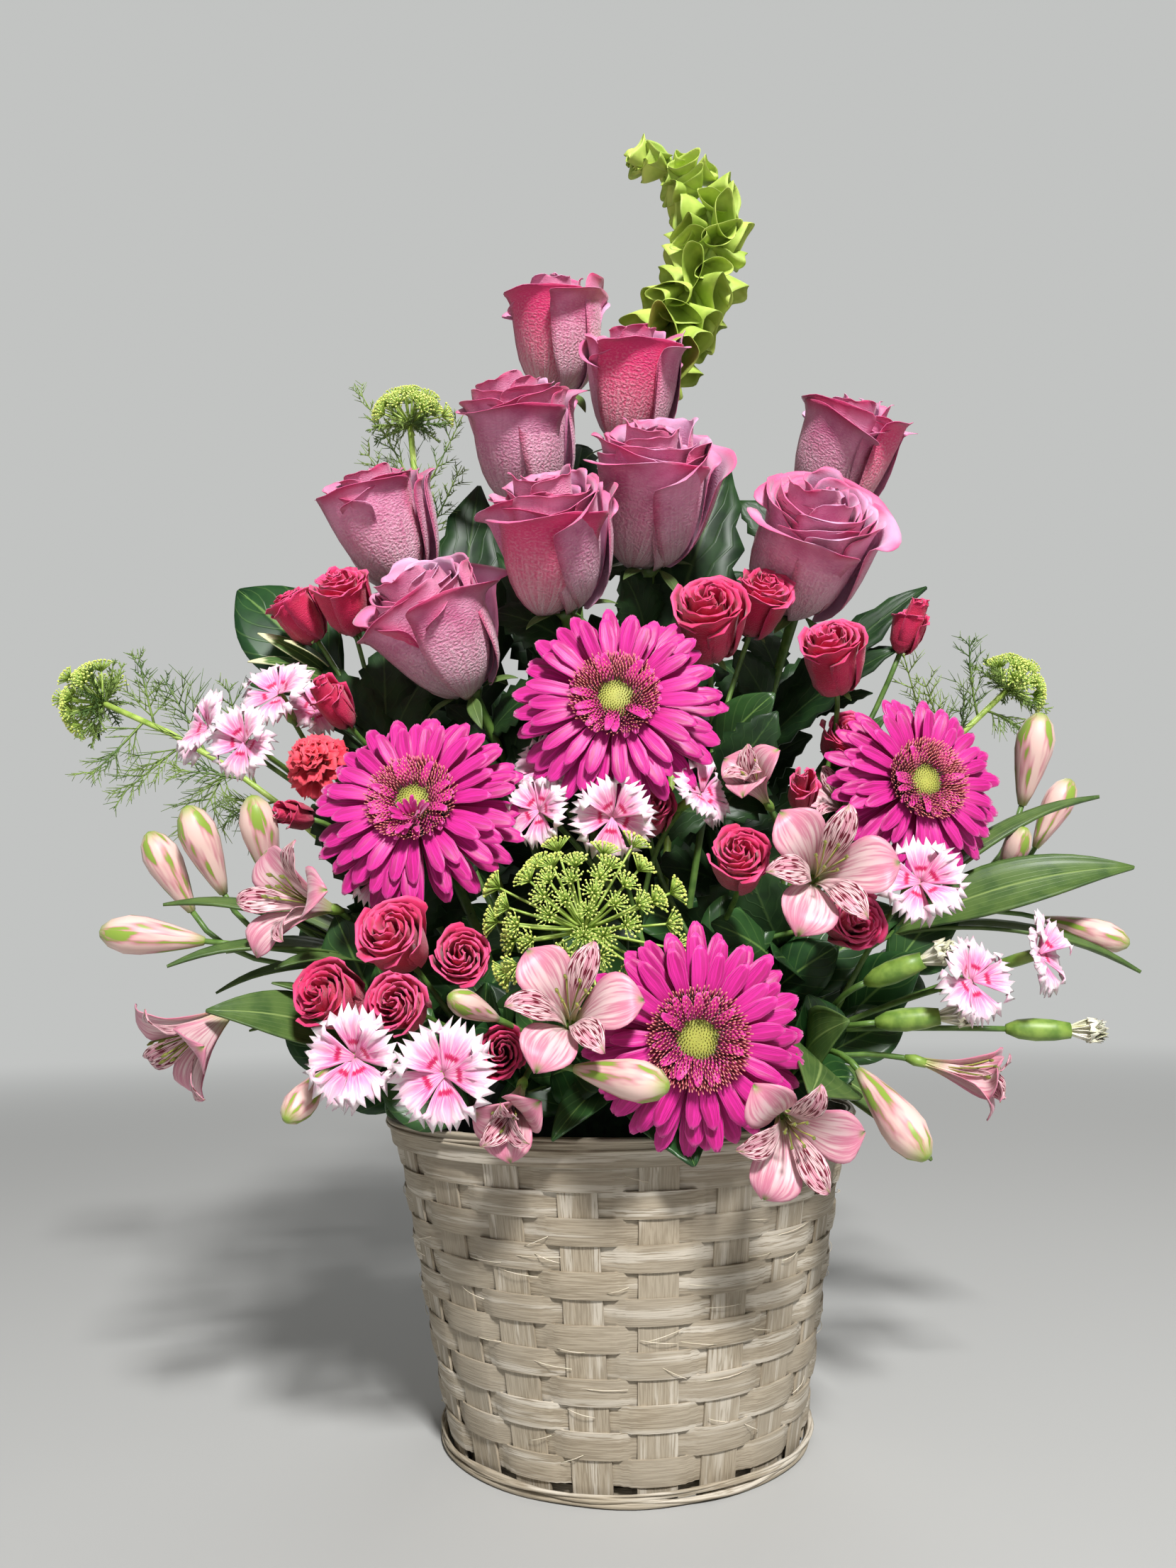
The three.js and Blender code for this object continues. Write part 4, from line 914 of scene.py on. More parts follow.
# %% Roses in place
ROSES = [
    {"at": (-25, 38, 609), "side": -6, "lift": 62, "model": 3, "spin": -24},
    {"at": (17, 4, 553), "side": 6, "lift": 58, "model": 3, "spin": 2},
    {"at": (-45, -8, 514), "side": -18, "lift": 58, "model": 0, "spin": 130},
    {"at": (25, -42, 463), "side": 6, "lift": 52, "size": 1.08, "model": 2, "spin": -20,
     "leaf": (0.66, (72, 6, 504), 64)},
    {"at": (-27, -66, 428), "side": -12, "lift": 52, "model": 4, "spin": 6,
     "leaf": (0.72, (-62, -2, 452), 24)},
    {"at": (-120, -15, 461), "side": -22, "lift": 60, "model": 1, "spin": 260,
     "leaf": (0.66, (-74, 20, 503), 58)},
    {"at": (-85, -55, 387), "side": -35, "lift": 48, "model": 4, "spin": 312,
     "leaf": (0.62, (-52, -26, 336), 26)},
    {"at": (141, 14, 512), "side": 28, "lift": 56, "model": 3, "spin": 42, "leaf": (0.6, (186, 22, 436), 28)},
    {"at": (107, -38, 433), "side": 10, "lift": 38, "size": 1.06, "model": 0, "spin": 80,
     "leaf": (0.7, (154, -20, 386), 28)},
]
LEAF_FACE = (0, -1, 0.5)
CUP_DEPTH = 5.3
CUP_GAP = 0.3
pieces_made = []


def keep(piece, node):
    """Hangs a finished piece on the one body and hides the solid that it stands for."""
    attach(piece, "root")
    if node:
        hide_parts(node)
    pieces_made.append(piece)


def sepals(place, length, radius):
    """Five green tongues under a bloom, curling out and down."""
    upper = place.to_3x3() @ Vector((0, 0, 1))
    parts = []
    for i in range(5):
        drop = length * (0.2 + 0.2 * ((i * 2) % 3))
        out = around(math.tau * i / 5)
        tip = moved(place, out * length - Vector((0, 0, drop - 4)))
        parts.append(leaf("lance", moved(place, out * radius), tip, 0.3 * length, upper, 0.4))
    return parts


for number, rose in enumerate(ROSES, 1):
    size = rose.get("size", 1)
    axis = toward(rose["side"], rose["lift"])
    base = Vector(rose["at"]) - axis * 0.5 * ROSE_HEIGHT * size
    bloom = twin(ROSE_BLOOMS[rose["model"]], frame_at(base, axis, rose["spin"], size))
    bloom.name = f"rose_{number}_petals"
    keep(bloom, f"rose_{number}_bloom")
    path = stem_path(base - axis * CUP_DEPTH, axis)
    parts = sepals(frame_at(base, axis, 15), 27, 7)
    parts.insert(0, flower_stem("stem", path, base - axis * CUP_GAP, ROSE_STEM))
    if "leaf" in rose:
        share, tip, width = rose["leaf"]
        root = path_at(path, share)
        middle = root.lerp(Vector(tip), 0.4)
        parts.append(leaf("saw", root, tip, width, LEAF_FACE))
        for way in (-1, 1):
            end = middle + Vector((0.4 * width, 0, -0.2 * width)) * way + (Vector(tip) - root) * 0.3
            parts.append(leaf("saw", middle, end, 0.5 * width, LEAF_FACE))
    keep(joined(f"rose_{number}_greens", parts), f"rose_{number}_stem")
print("roses placed", len(ROSES))

# %% [markdown]
# Gerberas
# A gerbera is a wheel of long ribbed rays in three tiers, then a collar of short rays, a ring of dark
# florets with pale tips, and a green eye of unopened ones. Every part is one small pattern, turned
# round the axis; the florets follow the golden angle, as they do in the real head.

# %% Gerbera patterns
RAY = [(1.4, 6, -1, 0.2), (2.2, 14, 0.2, 0.4), (3.1, 22, 1.0, 0.6), (3.9, 30, 1.2, 0.7),
       (4.5, 37.5, 1.0, 0.65), (4.2, 43.5, 0.3, 0.5), (3.0, 47.8, -0.6, 0.3), (1.1, 50.4, -1.2, 0.1)]
SHORT_RAY = [(0.9, 4, 0, 0.1), (1.6, 9, 2, 0.5), (2.1, 14, 3.2, 0.7), (1.9, 19, 3.4, 0.5), (0.8, 22, 3, 0.1)]
RAY_TIERS = [(25, 1.0, -5, -4.5), (24, 0.93, 3, -2.5), (21, 0.8, 10, -1)]  # count, size, lift and height
COLLAR = 26
WHEEL_WIDTH = 98
FLORETS = 640
EYE_SHARE = 0.42
DISC_RADIUS = 17


def ray_pattern(name, rows, groove, seed, levels):
    sheet = blank(name, 4, len(rows) - 1)
    shape_flat(sheet, rows, groove)
    ruffle(sheet, 0.35, seed, 0.4)
    return finish_sheet(sheet, GERBERA, 0.4, levels)


def floret(name, radius, length, material, sides):
    """A tiny floret: a blunt cone, with its far end as the tip of its map."""
    cone = added(name, bpy.ops.mesh.primitive_cone_add, vertices=sides, radius1=radius * MM,
                 radius2=0.35 * radius * MM, depth=length * MM, location=(0, 0, 0.5 * length * MM))
    bpy.ops.object.shade_smooth()
    for loop, place in zip(cone.data.loops, cone.data.uv_layers[0].data):
        place.uv = (0.5, cone.data.vertices[loop.vertex_index].co.z / (length * MM))
    cone.data.materials.append(material)
    return cone


RAYS = [ray_pattern(f"ray_{k}", RAY, (0.5, 0), k, 0) for k in range(3)]
SHORT_RAYS = [ray_pattern(f"short_ray_{k}", SHORT_RAY, (0,), k + 5, 1) for k in range(2)]
RING_FLORET = floret("ring_floret", 0.46, 5.4, DISC_FLORET, 5)
EYE_FLORET = floret("eye_floret", 0.5, 2.0, DISC_EYE, 4)
print("a ray has", len(RAYS[0].data.polygons), "faces")

# %% [markdown]
# Whole gerberas
# The tiers of rays are turned against each other and every ray is a little longer or shorter than its
# neighbour. The disc is a flat cushion set with florets; those of the ring lean outwards. Only the
# second gerbera has a curled tuft of young rays on its disc.

# %% Gerberas in place
RAYS_BEHIND = 5
DISC_BEHIND = 2.5
BACK_BEHIND = 10.3
GERBERA_NECK = 7


def gerbera_rays(name, width, seed, tuft=0):
    """Three tiers of rays and a collar; tuft adds a curled bunch of young rays low on the disc."""
    chance = random.Random(seed)
    parts = []
    for count, size, lift, height in RAY_TIERS:
        start = chance.uniform(0, 360)
        for i in range(count):
            wide, long = (size * chance.uniform(*limits) for limits in ((0.92, 1.08), (0.93, 1.02)))
            place = (turn(start + 360 * i / count + chance.uniform(-4.5, 4.5)) @ shift(0, 0, height)
                     @ turn(lift + chance.uniform(-4, 4), "X") @ turn(chance.uniform(-10, 10), "Y"))
            shape = Matrix.Diagonal((wide, long, size, 1))
            parts.append(twin(RAYS[i % 3], place @ shape, chance.uniform(0, 0.6)))
    for i in range(COLLAR):
        place = turn(360 * i / COLLAR + chance.uniform(-4, 4)) @ turn(14 + chance.uniform(-6, 10), "X")
        parts.append(twin(SHORT_RAYS[i % 2], place, 0.5))
    for i in range(tuft):
        place = (shift(1.5, -9, 2) @ turn(360 * i / tuft) @ turn(chance.uniform(35, 70), "X")
                 @ Matrix.Scale(chance.uniform(0.55, 0.8), 4))
        parts.append(twin(SHORT_RAYS[i % 2], place, 0.2))
    whole = joined(name, parts)
    whole.data.transform(Matrix.Scale(width / WHEEL_WIDTH, 4))
    return whole


def gerbera_disc(name, seed):
    """Florets from the eye outwards: green, then dark with pale tips that lean out."""
    chance = random.Random(seed)
    parts = []
    for i in range(FLORETS):
        share = math.sqrt((i + 0.5) / FLORETS)
        in_eye = share < EYE_SHARE
        size = 0.9 + 0.5 * share * chance.uniform(0.7, 1.2)
        lean = -8 - 42 * max(0, share - EYE_SHARE) * chance.uniform(0.7, 1.3)
        rise = 3.2 - 1.6 * (1 - share) if in_eye else 1.5
        place = (turn(math.degrees(i * GOLDEN_TURN)) @ shift(0, DISC_RADIUS * share, rise) @ turn(lean, "X")
                 @ Matrix.Scale(size, 4))
        parts.append(twin(EYE_FLORET if in_eye else RING_FLORET, place, 0))
    cushion = added("cushion", bpy.ops.mesh.primitive_uv_sphere_add, segments=24, ring_count=10,
                    radius=0.8 * DISC_RADIUS * MM)
    bpy.ops.transform.resize(value=(1, 1, 0.24), center_override=(0, 0, 0))
    bake()
    bpy.ops.object.shade_smooth()
    cushion.data.materials.append(DISC_EYE)
    return joined(name, [cushion, *parts])


GERBERAS = [
    {"at": (0, -105, 340), "side": -4, "lift": 10, "width": 100},
    {"at": (-91, -105, 294), "side": -6, "lift": 14, "width": 96, "swing": 14, "tuft": 14},
    {"at": (151, -60, 307), "side": 12, "lift": 5, "width": 92},
    {"at": (28, -146, 191), "side": 0, "lift": 0, "width": 90},
]

for number, gerbera in enumerate(GERBERAS, 1):
    axis = toward(gerbera["side"], gerbera["lift"])
    front = Vector(gerbera["at"])
    rays = gerbera_rays(f"gerbera_{number}_petals", gerbera["width"], number, gerbera.get("tuft", 0))
    rays.data.transform(frame_at(front - axis * RAYS_BEHIND, axis))
    keep(rays, f"gerbera_{number}_rays")
    disc = gerbera_disc(f"gerbera_{number}_florets", number)
    disc.data.transform(frame_at(front - axis * DISC_BEHIND, axis))
    keep(disc, f"gerbera_{number}_disc")
    back = front - axis * BACK_BEHIND
    path = stem_path(back - axis * GERBERA_NECK, axis, gerbera.get("swing", 0), 0.5)
    stalk = flower_stem(f"gerbera_{number}_stalk", path, back, GERBERA_STEM)
    keep(stalk, f"gerbera_{number}_stem")
print("gerberas placed", len(GERBERAS))

# %% [markdown]
# Heads of the sprays
# Small roses reuse the rose rings with fewer petals. Pinks have five fans with a toothed edge: every
# second corner of the last row is drawn in. The carnation is made of the same fans, more ruffled and
# set in tiers that stand up steeper towards the middle.

# %% Small roses, pinks and the carnation
SMALL_PETALS = rose_patterns("small", (CRIMSON, CRIMSON_INSIDE), 0, 0.7)
SMALL_PLAN = [("upright", 4, 0.92, 3, 6), ("upright", 4, 0.82, 0, 4), ("middle", 4, 0.9, 0, 3),
              ("inner", 4, 0.98, 0, 0), ("heart", 2, 1.0, 0, 0)]
BUD_PLAN = [("upright", 3, 0.66, -6, 6), ("middle", 3, 0.7, -8, 3), ("inner", 2, 0.8, 0, 0),
            ("heart", 2, 0.9, 0, 0)]
SMALL_ROSES = [rose_bloom(f"small_rose_{k}", SMALL_PETALS, SMALL_PLAN, 40 + k) for k in range(2)]
ROSEBUD = rose_bloom("small_rosebud", SMALL_PETALS, BUD_PLAN, 50)

FAN = [(0.9, 0.2, 0, 0), (2.8, 4, 1.2, 0.2), (5.4, 8, 2.2, 1.0), (7.9, 12.5, 2.8, 1.8), (9.9, 16.5, 2.4, 1.8),
       (11.2, 20.4, 1.0, 1.0)]
CALYX_ROD = ([(0, 0, z) for z in (-20, -17, -9, -2, 1)], [1.2, 2.6, 3, 2.8, 1.6])
FAN_COLUMNS = 14
# Each tier of the carnation: how many petals, how steep and of what size
CARNATION_TIERS = [(6, 4, 0.86), (5, 30, 0.84), (5, 52, 0.8), (4, 70, 0.74), (3, 84, 0.66)]


def fringed_petal(name, material, seed, wave=0.8, tooth=4.2, fold=4):
    """A fan whose every second corner is drawn in by a tooth; wave lifts the outer part in folds."""
    sheet = blank(name, FAN_COLUMNS, len(FAN) - 1)
    shape_flat(sheet, FAN)

    def column_of(across):
        return round(0.5 * FAN_COLUMNS * (across + 1))

    with editing(sheet):
        nudge(sheet, lambda across, along: along > 0.99 and column_of(across) % 2 == 0, move=(0, -tooth, 0))
        nudge(sheet, lambda across, along: along > 0.6 and column_of(across) % fold < fold / 2,
              move=(0, 0, wave))
        for edge in (0.4, 0.6, 0.8, 0.95):
            nudge(sheet, lambda across, along: along > 0.7 and abs(across) > edge, move=(0, -1.5 * edge, 0))
    ruffle(sheet, 0.8, seed, 0.6)
    return finish_sheet(sheet, material, 0.45, 0)


PINK_PETALS = [fringed_petal(f"pink_petal_{k}", PINK, k) for k in range(2)]
RUFFLES = [fringed_petal(f"ruffle_{k}", SCARLET, 20 + k, 3.0, 1.2, 7) for k in range(3)]


def pink_flower(name, seed):
    chance = random.Random(seed)
    parts = []
    for i in range(5):
        place = (turn(144 * i + chance.uniform(-11, 11)) @ shift(0, 0, 0.5 * i)
                 @ turn(chance.uniform(-20, 30), "X") @ turn(chance.uniform(-14, 14), "Y"))
        parts.append(twin(PINK_PETALS[i % 2], place, 0))
    return joined(name, [*parts, rods("calyx", [CALYX_ROD], CALYX, 2)])


def carnation_head(name):
    chance = random.Random(5)
    parts = []
    for tier, (count, lift, size) in enumerate(CARNATION_TIERS):
        for i in range(count):
            place = (turn(360 * i / count + 17 * tier) @ shift(0, 0, 2.2 * tier)
                     @ turn(lift + chance.uniform(-8, 8), "X") @ Matrix.Scale(size, 4))
            parts.append(twin(RUFFLES[i % 3], place, chance.uniform(0, 1)))
    return joined(name, parts)


PINKS = [pink_flower(f"pink_{k}", 60 + k) for k in range(2)]
CARNATION = carnation_head("carnation_head")
print("a pink has", len(PINKS[0].data.polygons), "faces, the carnation", len(CARNATION.data.polygons))

# %% [markdown]
# Lilies and buds
# A lily has three broad tepals and three narrow ones with dark streaks, round six stamens; their
# edges are lifted and lowered by turns so that they wave. A bud is a ball whose rings are moved, one
# after another, to a radius and height of their own. The green bud of a pink ends in a pale brush.

# %% Lily flowers and buds
BROAD = [(1.8, 1, 0, 0.1), (3.0, 3, 9, 0.8), (6.2, 6, 18, 2.0), (10.4, 10, 26, 3.2), (12.8, 15, 31.5, 3.0),
         (12.2, 20.5, 34.5, 1.6), (7.6, 25.5, 34.5, 0.6), (0.8, 29, 32, 0)]
NARROW = [(1.3, 1, 0, 0.2), (1.8, 2.2, 10, 0.5), (3.2, 5, 20, 1.0), (5.4, 9, 28, 1.4), (6.6, 14, 34, 1.2),
          (5.8, 19, 37.5, 0.6), (3.2, 23.5, 38.5, 0.2), (0.4, 27, 37, 0)]
LILY_WIDTH = 54
TUBE_ROD = ([(0, 0, -6), (0, 0, -1), (0, 0, 5)], [1.6, 3.0, 2.4])
LILY_BUD_RINGS = [(0, 0), (2.0, 1), (4.0, 7), (6.6, 17), (8.6, 27), (8.8, 34), (6.4, 41), (2.8, 45), (0, 46)]
GREEN_CUP_RINGS = [(0, 0), (2.2, 1), (4.4, 6), (5.2, 13), (4.8, 21), (3.6, 28), (0, 27)]
THREAD = Matrix.Diagonal((0.5, 1.05, 1, 1))
BRUSH_PETALS = 8
BRUSH_FOOT = 22


def tepal(name, rows, material, seed):
    sheet = blank(name, 6, len(rows) - 1)
    shape_flat(sheet, rows)
    with editing(sheet):
        for k in range(2, 7):
            lift = 1.1 * (-1) ** (k + seed)
            for edge, move in ((1, lift), (-1, -0.7 * lift)):
                nudge(sheet, lambda across, along: abs(along - k / 7) < 0.05 and across * edge > 0.9,
                      move=(0, 0, move))
    ruffle(sheet, 0.6, seed, 0.5)
    return finish_sheet(sheet, material, 0.4, 1)


TEPALS = [(tepal("broad_tepal", BROAD, LILY, 1), 0), (tepal("narrow_tepal", NARROW, STREAKED, 2), 60)]


def lily_flower(name, seed, spread_out):
    chance = random.Random(seed)
    parts = []
    for i in range(3):
        for model, offset in TEPALS:
            lean = spread_out + chance.uniform(-5, 5)
            parts.append(twin(model, turn(120 * i + offset + chance.uniform(-5, 5)) @ turn(-lean, "X"), 0))
    threads = []
    for i in range(6):
        a = math.tau * i / 6 + 0.3
        end = Vector((6 * math.cos(a), 6 * math.sin(a) - 4, 34 + 3 * (i % 2)))
        threads.append((bow((0, 0, 4), (0, 0, 20), end, 4), 0.45))
        threads.append(([end, end + Vector((0.4, 0, 1.5)), end + Vector((0.8, 0, 3.4))], [0.5, 1.1, 0.4]))
    return joined(name, [*parts, rods("stamens", threads, DISC_EYE, 0), rods("tube", [TUBE_ROD], CALYX, 2)])


def drawn_ball(name, rings, material, segments):
    """A ball whose rings are moved to the given radii and heights, from root to tip."""
    steps = len(rings) - 1
    ball = added(name, bpy.ops.mesh.primitive_uv_sphere_add, segments=segments, ring_count=steps, radius=1)
    sheet_places[name] = [(0, math.acos(max(-1, min(1, -v.co.z))) / math.pi) for v in ball.data.vertices]
    with editing(ball):
        for k, (radius, height) in enumerate(rings):
            girth = max(math.sin(math.pi * k / steps), 1e-3)
            nudge(ball, row_rule(k, steps), (radius * MM / girth, radius * MM / girth, 0), (0, 0, height))
    bpy.ops.object.shade_smooth()
    ball.data.materials.append(material)
    return ball


LILIES = [lily_flower("lily_0", 70, 0), lily_flower("lily_1", 71, -14)]
LILY_BUD = drawn_ball("lily_bud", LILY_BUD_RINGS, BUD, 12)
GREEN_CUP = drawn_ball("green_cup", GREEN_CUP_RINGS, CALYX, 10)
FRINGE_PETAL = fringed_petal("fringe_petal", FRINGE, 9)
BRUSH = [twin(FRINGE_PETAL, turn(137 * k) @ shift(0, 0, BRUSH_FOOT) @ turn(76 + 5 * (k % 3), "X") @ THREAD, 0)
         for k in range(BRUSH_PETALS)]
GREEN_BUD = joined("green_bud", [GREEN_CUP, *BRUSH])
print("a lily has", len(LILIES[0].data.polygons), "faces")

# %% [markdown]
# The table of sprays
# A spray is one stem that forks near its top. Its heads repeat the places of the solids. A head is
# its kind, place, side, lift and width; a leaf is where it leaves the stem, its tip and width, then
# its kind and the way that it faces where these are not the usual ones.

# %% Sprays
SPRAYS = {
    "spray_roses_left": {"fork": (-118, -28, 330), "heads": [
        ("rose", (-162, -30, 405), -50, 50, 27), ("rose", (-137, -38, 409), -10, 45, 31),
        ("rosebud", (-138, -56, 352), -30, 40, 20)],
        "leaves": [(0.96, (-176, -12, 372), 22, "oval"), (0.86, (-92, -60, 330), 24, "oval"),
                   (1, (-124, -6, 396), 34, "saw", (0.2, -1, 0.2)),
                   (1, (-98, -14, 378), 32, "saw", (-0.2, -1, 0.3)),
                   (0.97, (-154, -14, 384), 28, "saw", (0, -1, 0.3)),
                   (0.92, (-142, -10, 350), 28, "oval", (0, -1, 0.4))]},
    "spray_roses_right": {"fork": (52, -34, 330), "heads": [
        ("rose", (48, -72, 382), -5, 30, 38), ("rose", (76, -50, 399), 15, 35, 31)],
        "leaves": [(0.97, (80, -60, 352), 28, "oval", (0, -1, 0.3))]},
    "spray_roses_far_right": {"fork": (100, -28, 290), "heads": [
        ("rose", (111, -58, 367), -15, 40, 34), ("rosebud", (160, -25, 396), 30, 55, 20),
        ("rose", (120, -24, 333), 10, 20, 26), ("rosebud", (88, -76, 300), 0, 35, 16)],
        "leaves": [(0.9, (148, -12, 352), 24, "oval"), (0.86, (66, -40, 310), 24, "oval")]},
    "spray_roses_middle": {"fork": (40, -52, 226), "heads": [
        ("rose", (16, -74, 290), 0, 30, 24), ("rose", (53, -105, 262), -5, 25, 27),
        ("rose", (103, -84, 238), 15, 0, 26)]},
    "spray_roses_low": {"fork": (-70, -76, 190), "swing": 3, "heads": [
        ("rose", (-95, -110, 231), -10, 25, 31), ("rose", (-70, -92, 223), 5, 15, 26),
        ("rose", (-120, -112, 208), -25, 15, 29), ("rose", (-91, -122, 205), -10, 10, 26),
        ("rose", (-52, -104, 184), 5, 10, 22)]},
    "carnation": {"fork": (-105, -40, 262), "heads": [
        ("carnation", (-144, -70, 321), -15, 25, 33), ("rosebud", (-152, -72, 294), -35, 5, 15)]},
    "pinks_left": {"fork": (-125, -30, 285), "heads": [
        ("pink", (-196, -66, 337), -35, 15, 40), ("pink", (-163, -66, 354), -10, 30, 40),
        ("pink", (-172, -86, 326), -15, 5, 36), ("pink", (-151, -42, 352), 10, 25, 32)]},
    "pinks_middle": {"fork": (10, -50, 238), "heads": [
        ("pink", (-31, -84, 311), -10, 20, 36), ("pink", (-35, -94, 290), -20, 5, 34),
        ("pink", (-2, -98, 286), 0, -5, 40), ("pink", (38, -92, 297), 40, 20, 34)]},
    "pinks_right": {"fork": (98, -58, 190), "swing": 11, "heads": [
        ("pink", (130, -108, 253), 5, 10, 40), ("pink", (149, -106, 211), 30, 10, 38),
        ("pink", (184, -92, 222), 50, 15, 38), ("calyx", (120, -98, 216), 62, 20, 9),
        ("calyx", (125, -96, 195), 75, 5, 9), ("calyx", (186, -84, 189), 80, -2, 9)]},
    "pinks_low": {"fork": (-84, -98, 178), "swing": 12, "heads": [
        ("pink", (-106, -142, 186), -5, 0, 42), ("pink", (-70, -152, 180), 5, 0, 42)]},
    "lilies_left": {"fork": (-120, -58, 226), "swing": -7, "heads": [
        ("lily", (-146, -100, 252), -38, 8, 50), ("lilybud", (-211, -68, 268), -60, 60, 19),
        ("lilybud", (-192, -76, 277), -40, 62, 20), ("lilybud", (-166, -74, 281), -20, 65, 20),
        ("lilybud", (-208, -92, 237), -80, 6, 20), ("pink", (-108, -88, 262), -5, 10, 30)],
        "leaves": [(1, (-206, -88, 252), 18), (0.96, (-196, -106, 224), 16),
                   (0.95, (-178, -84, 230), 20, "broad"), (0.9, (-160, -70, 250), 22, "broad"),
                   (0.93, (-184, -78, 212), 13), (0.9, (-150, -104, 222), 18)]},
    "lilies_far_left": {"fork": (-120, -72, 186), "swing": -3, "heads": [
        ("lily", (-185, -110, 191), -50, -35, 50), ("lilybud", (-131, -116, 170), -20, -30, 15)],
        "leaves": [(0.96, (-174, -118, 205), 28, "broad", (0, -0.8, 0.6)),
                   (0.94, (-152, -100, 216), 18, "broad"), (0.92, (-160, -104, 196), 12)]},
    "lilies_middle": {"fork": (80, -44, 238), "swing": -9, "heads": [
        ("lily", (85, -126, 258), 0, 5, 54), ("lily", (62, -94, 302), -30, 25, 42),
        ("lily", (112, -46, 301), -20, 20, 34)]},
    "lilies_low": {"fork": (-34, -92, 186), "heads": [
        ("lily", (-22, -152, 204), 0, 20, 50), ("lily", (-46, -136, 163), -10, -25, 44),
        ("lilybud", (-3, -158, 178), 60, -8, 18), ("lilybud", (-61, -128, 204), -40, 20, 13)]},
    "lilies_right": {"fork": (84, -74, 176), "heads": [
        ("lily", (61, -156, 156), 0, -15, 46), ("lily", (149, -98, 171), 65, -15, 46),
        ("lilybud", (106, -128, 160), 35, -45, 20)],
        "leaves": [(1, (70, -150, 170), 44, "broad", (0.2, -1, 0.3)),
                   (1, (92, -124, 196), 30, "broad", (0, -1, 0.4)),
                   (0.96, (124, -118, 140), 22, "broad", (0, -0.5, 1))]},
    "lilies_far_right": {"fork": (140, -26, 236), "swing": 10, "heads": [
        ("lilybud", (220, -20, 324), 30, 70, 22), ("lilybud", (231, -14, 296), 70, 60, 18),
        ("lilybud", (200, -34, 272), 20, 50, 15), ("lilybud", (235, -30, 234), 65, -20, 18)],
        "leaves": [(1, (252, -52, 264), 30, "broad", (0, -0.8, 0.6)), (1, (246, -36, 302), 16),
                   (0.97, (256, -40, 214), 14)]},
}
print("sprays", len(SPRAYS), "with", sum(len(spray["heads"]) for spray in SPRAYS.values()), "heads")

# %% [markdown]
# Building a spray
# One function builds every spray in the table. The stem runs to the fork, and from there each head
# has a curved twig of its own, which ends in the middle of the flower's foot. The heads become one
# piece and the greens another.

# %% Sprays in place
HEADS = {  # models, foot and seat behind the middle in widths, full width, slot
    "rose": (SMALL_ROSES, 0.5, 0.45, 60, "crimson_petals"),
    "rosebud": ([ROSEBUD], 0.75, 0.7, 40, "crimson_petals"),
    "carnation": ([CARNATION], 0.3, 0.75, 34, "crimson_petals"),
    "pink": (PINKS, 0, 0.12, 40, "fringed_petals"),
    "lily": (LILIES, 0.5, 0.5, LILY_WIDTH, "lily_petals"),
    "lilybud": ([LILY_BUD], 1.15, 1.1, 20, "lily_petals"),
    "calyx": ([GREEN_BUD], 1.7, 1.7, 9, "green_stems"),
}
USUAL_LEAF = ("lance", (0, -0.4, 1))


def build_spray(name, spray):
    knot = Vector(spray["fork"])
    heads = [(kind, Vector(at), toward(side, lift), width) for kind, at, side, lift, width in spray["heads"]]
    out = (sum((at for _, at, _, _ in heads), Vector()) / len(heads) - knot).normalized()
    path = stem_path(knot, out, spray.get("swing", 0))
    start = knot - out * FORK_DEPTH
    twigs = [(path, SPRAY_STEM)]
    petals, greens = [], []
    for number, (kind, at, axis, width) in enumerate(heads):
        models, foot_behind, seat_behind, full_width, _ = HEADS[kind]
        spin = 180 + 24 * (number % 3 - 1) if kind == "lily" else 47 * number
        place = frame_at(at - axis * foot_behind * width, axis, spin, width / full_width)
        (greens if kind == "calyx" else petals).append(twin(models[number % len(models)], place))
        seat = at - axis * seat_behind * width
        lean = seat - axis * 0.45 * (seat - knot).length
        twigs.append((bow(start, lean, seat + axis * 1.5, 6), TWIG))
        if kind in ("rose", "rosebud", "carnation"):
            greens += sepals(frame_at(seat + axis * 0.5, axis, 20), 0.32 * width, 0.1 * width)
    for share, tip, width, *given in spray.get("leaves", []):
        kind, face = (*given, *USUAL_LEAF[len(given):])
        root = start if share == 1 else path_at(path, share)
        greens.append(leaf(kind, root, tip, width, face, 0.1 * len(greens) % 0.4))
    greens.append(rods("twigs", twigs, STEM, 1))
    keep(joined(f"{name}_heads", petals), name)
    keep(joined(f"{name}_greens", greens), None)


for name, spray in SPRAYS.items():
    build_spray(name, spray)
print("pieces so far", len(pieces_made))

# %% [markdown]
# Umbels
# An umbel's rays leave one point like the ribs of an umbrella, and each ends in a small umbel of its
# own. The florets are little balls on thread-like stalks, modelled once as a cluster. The leaves under
# it are feathers: a rib, side ribs and needles, which are thin rods.

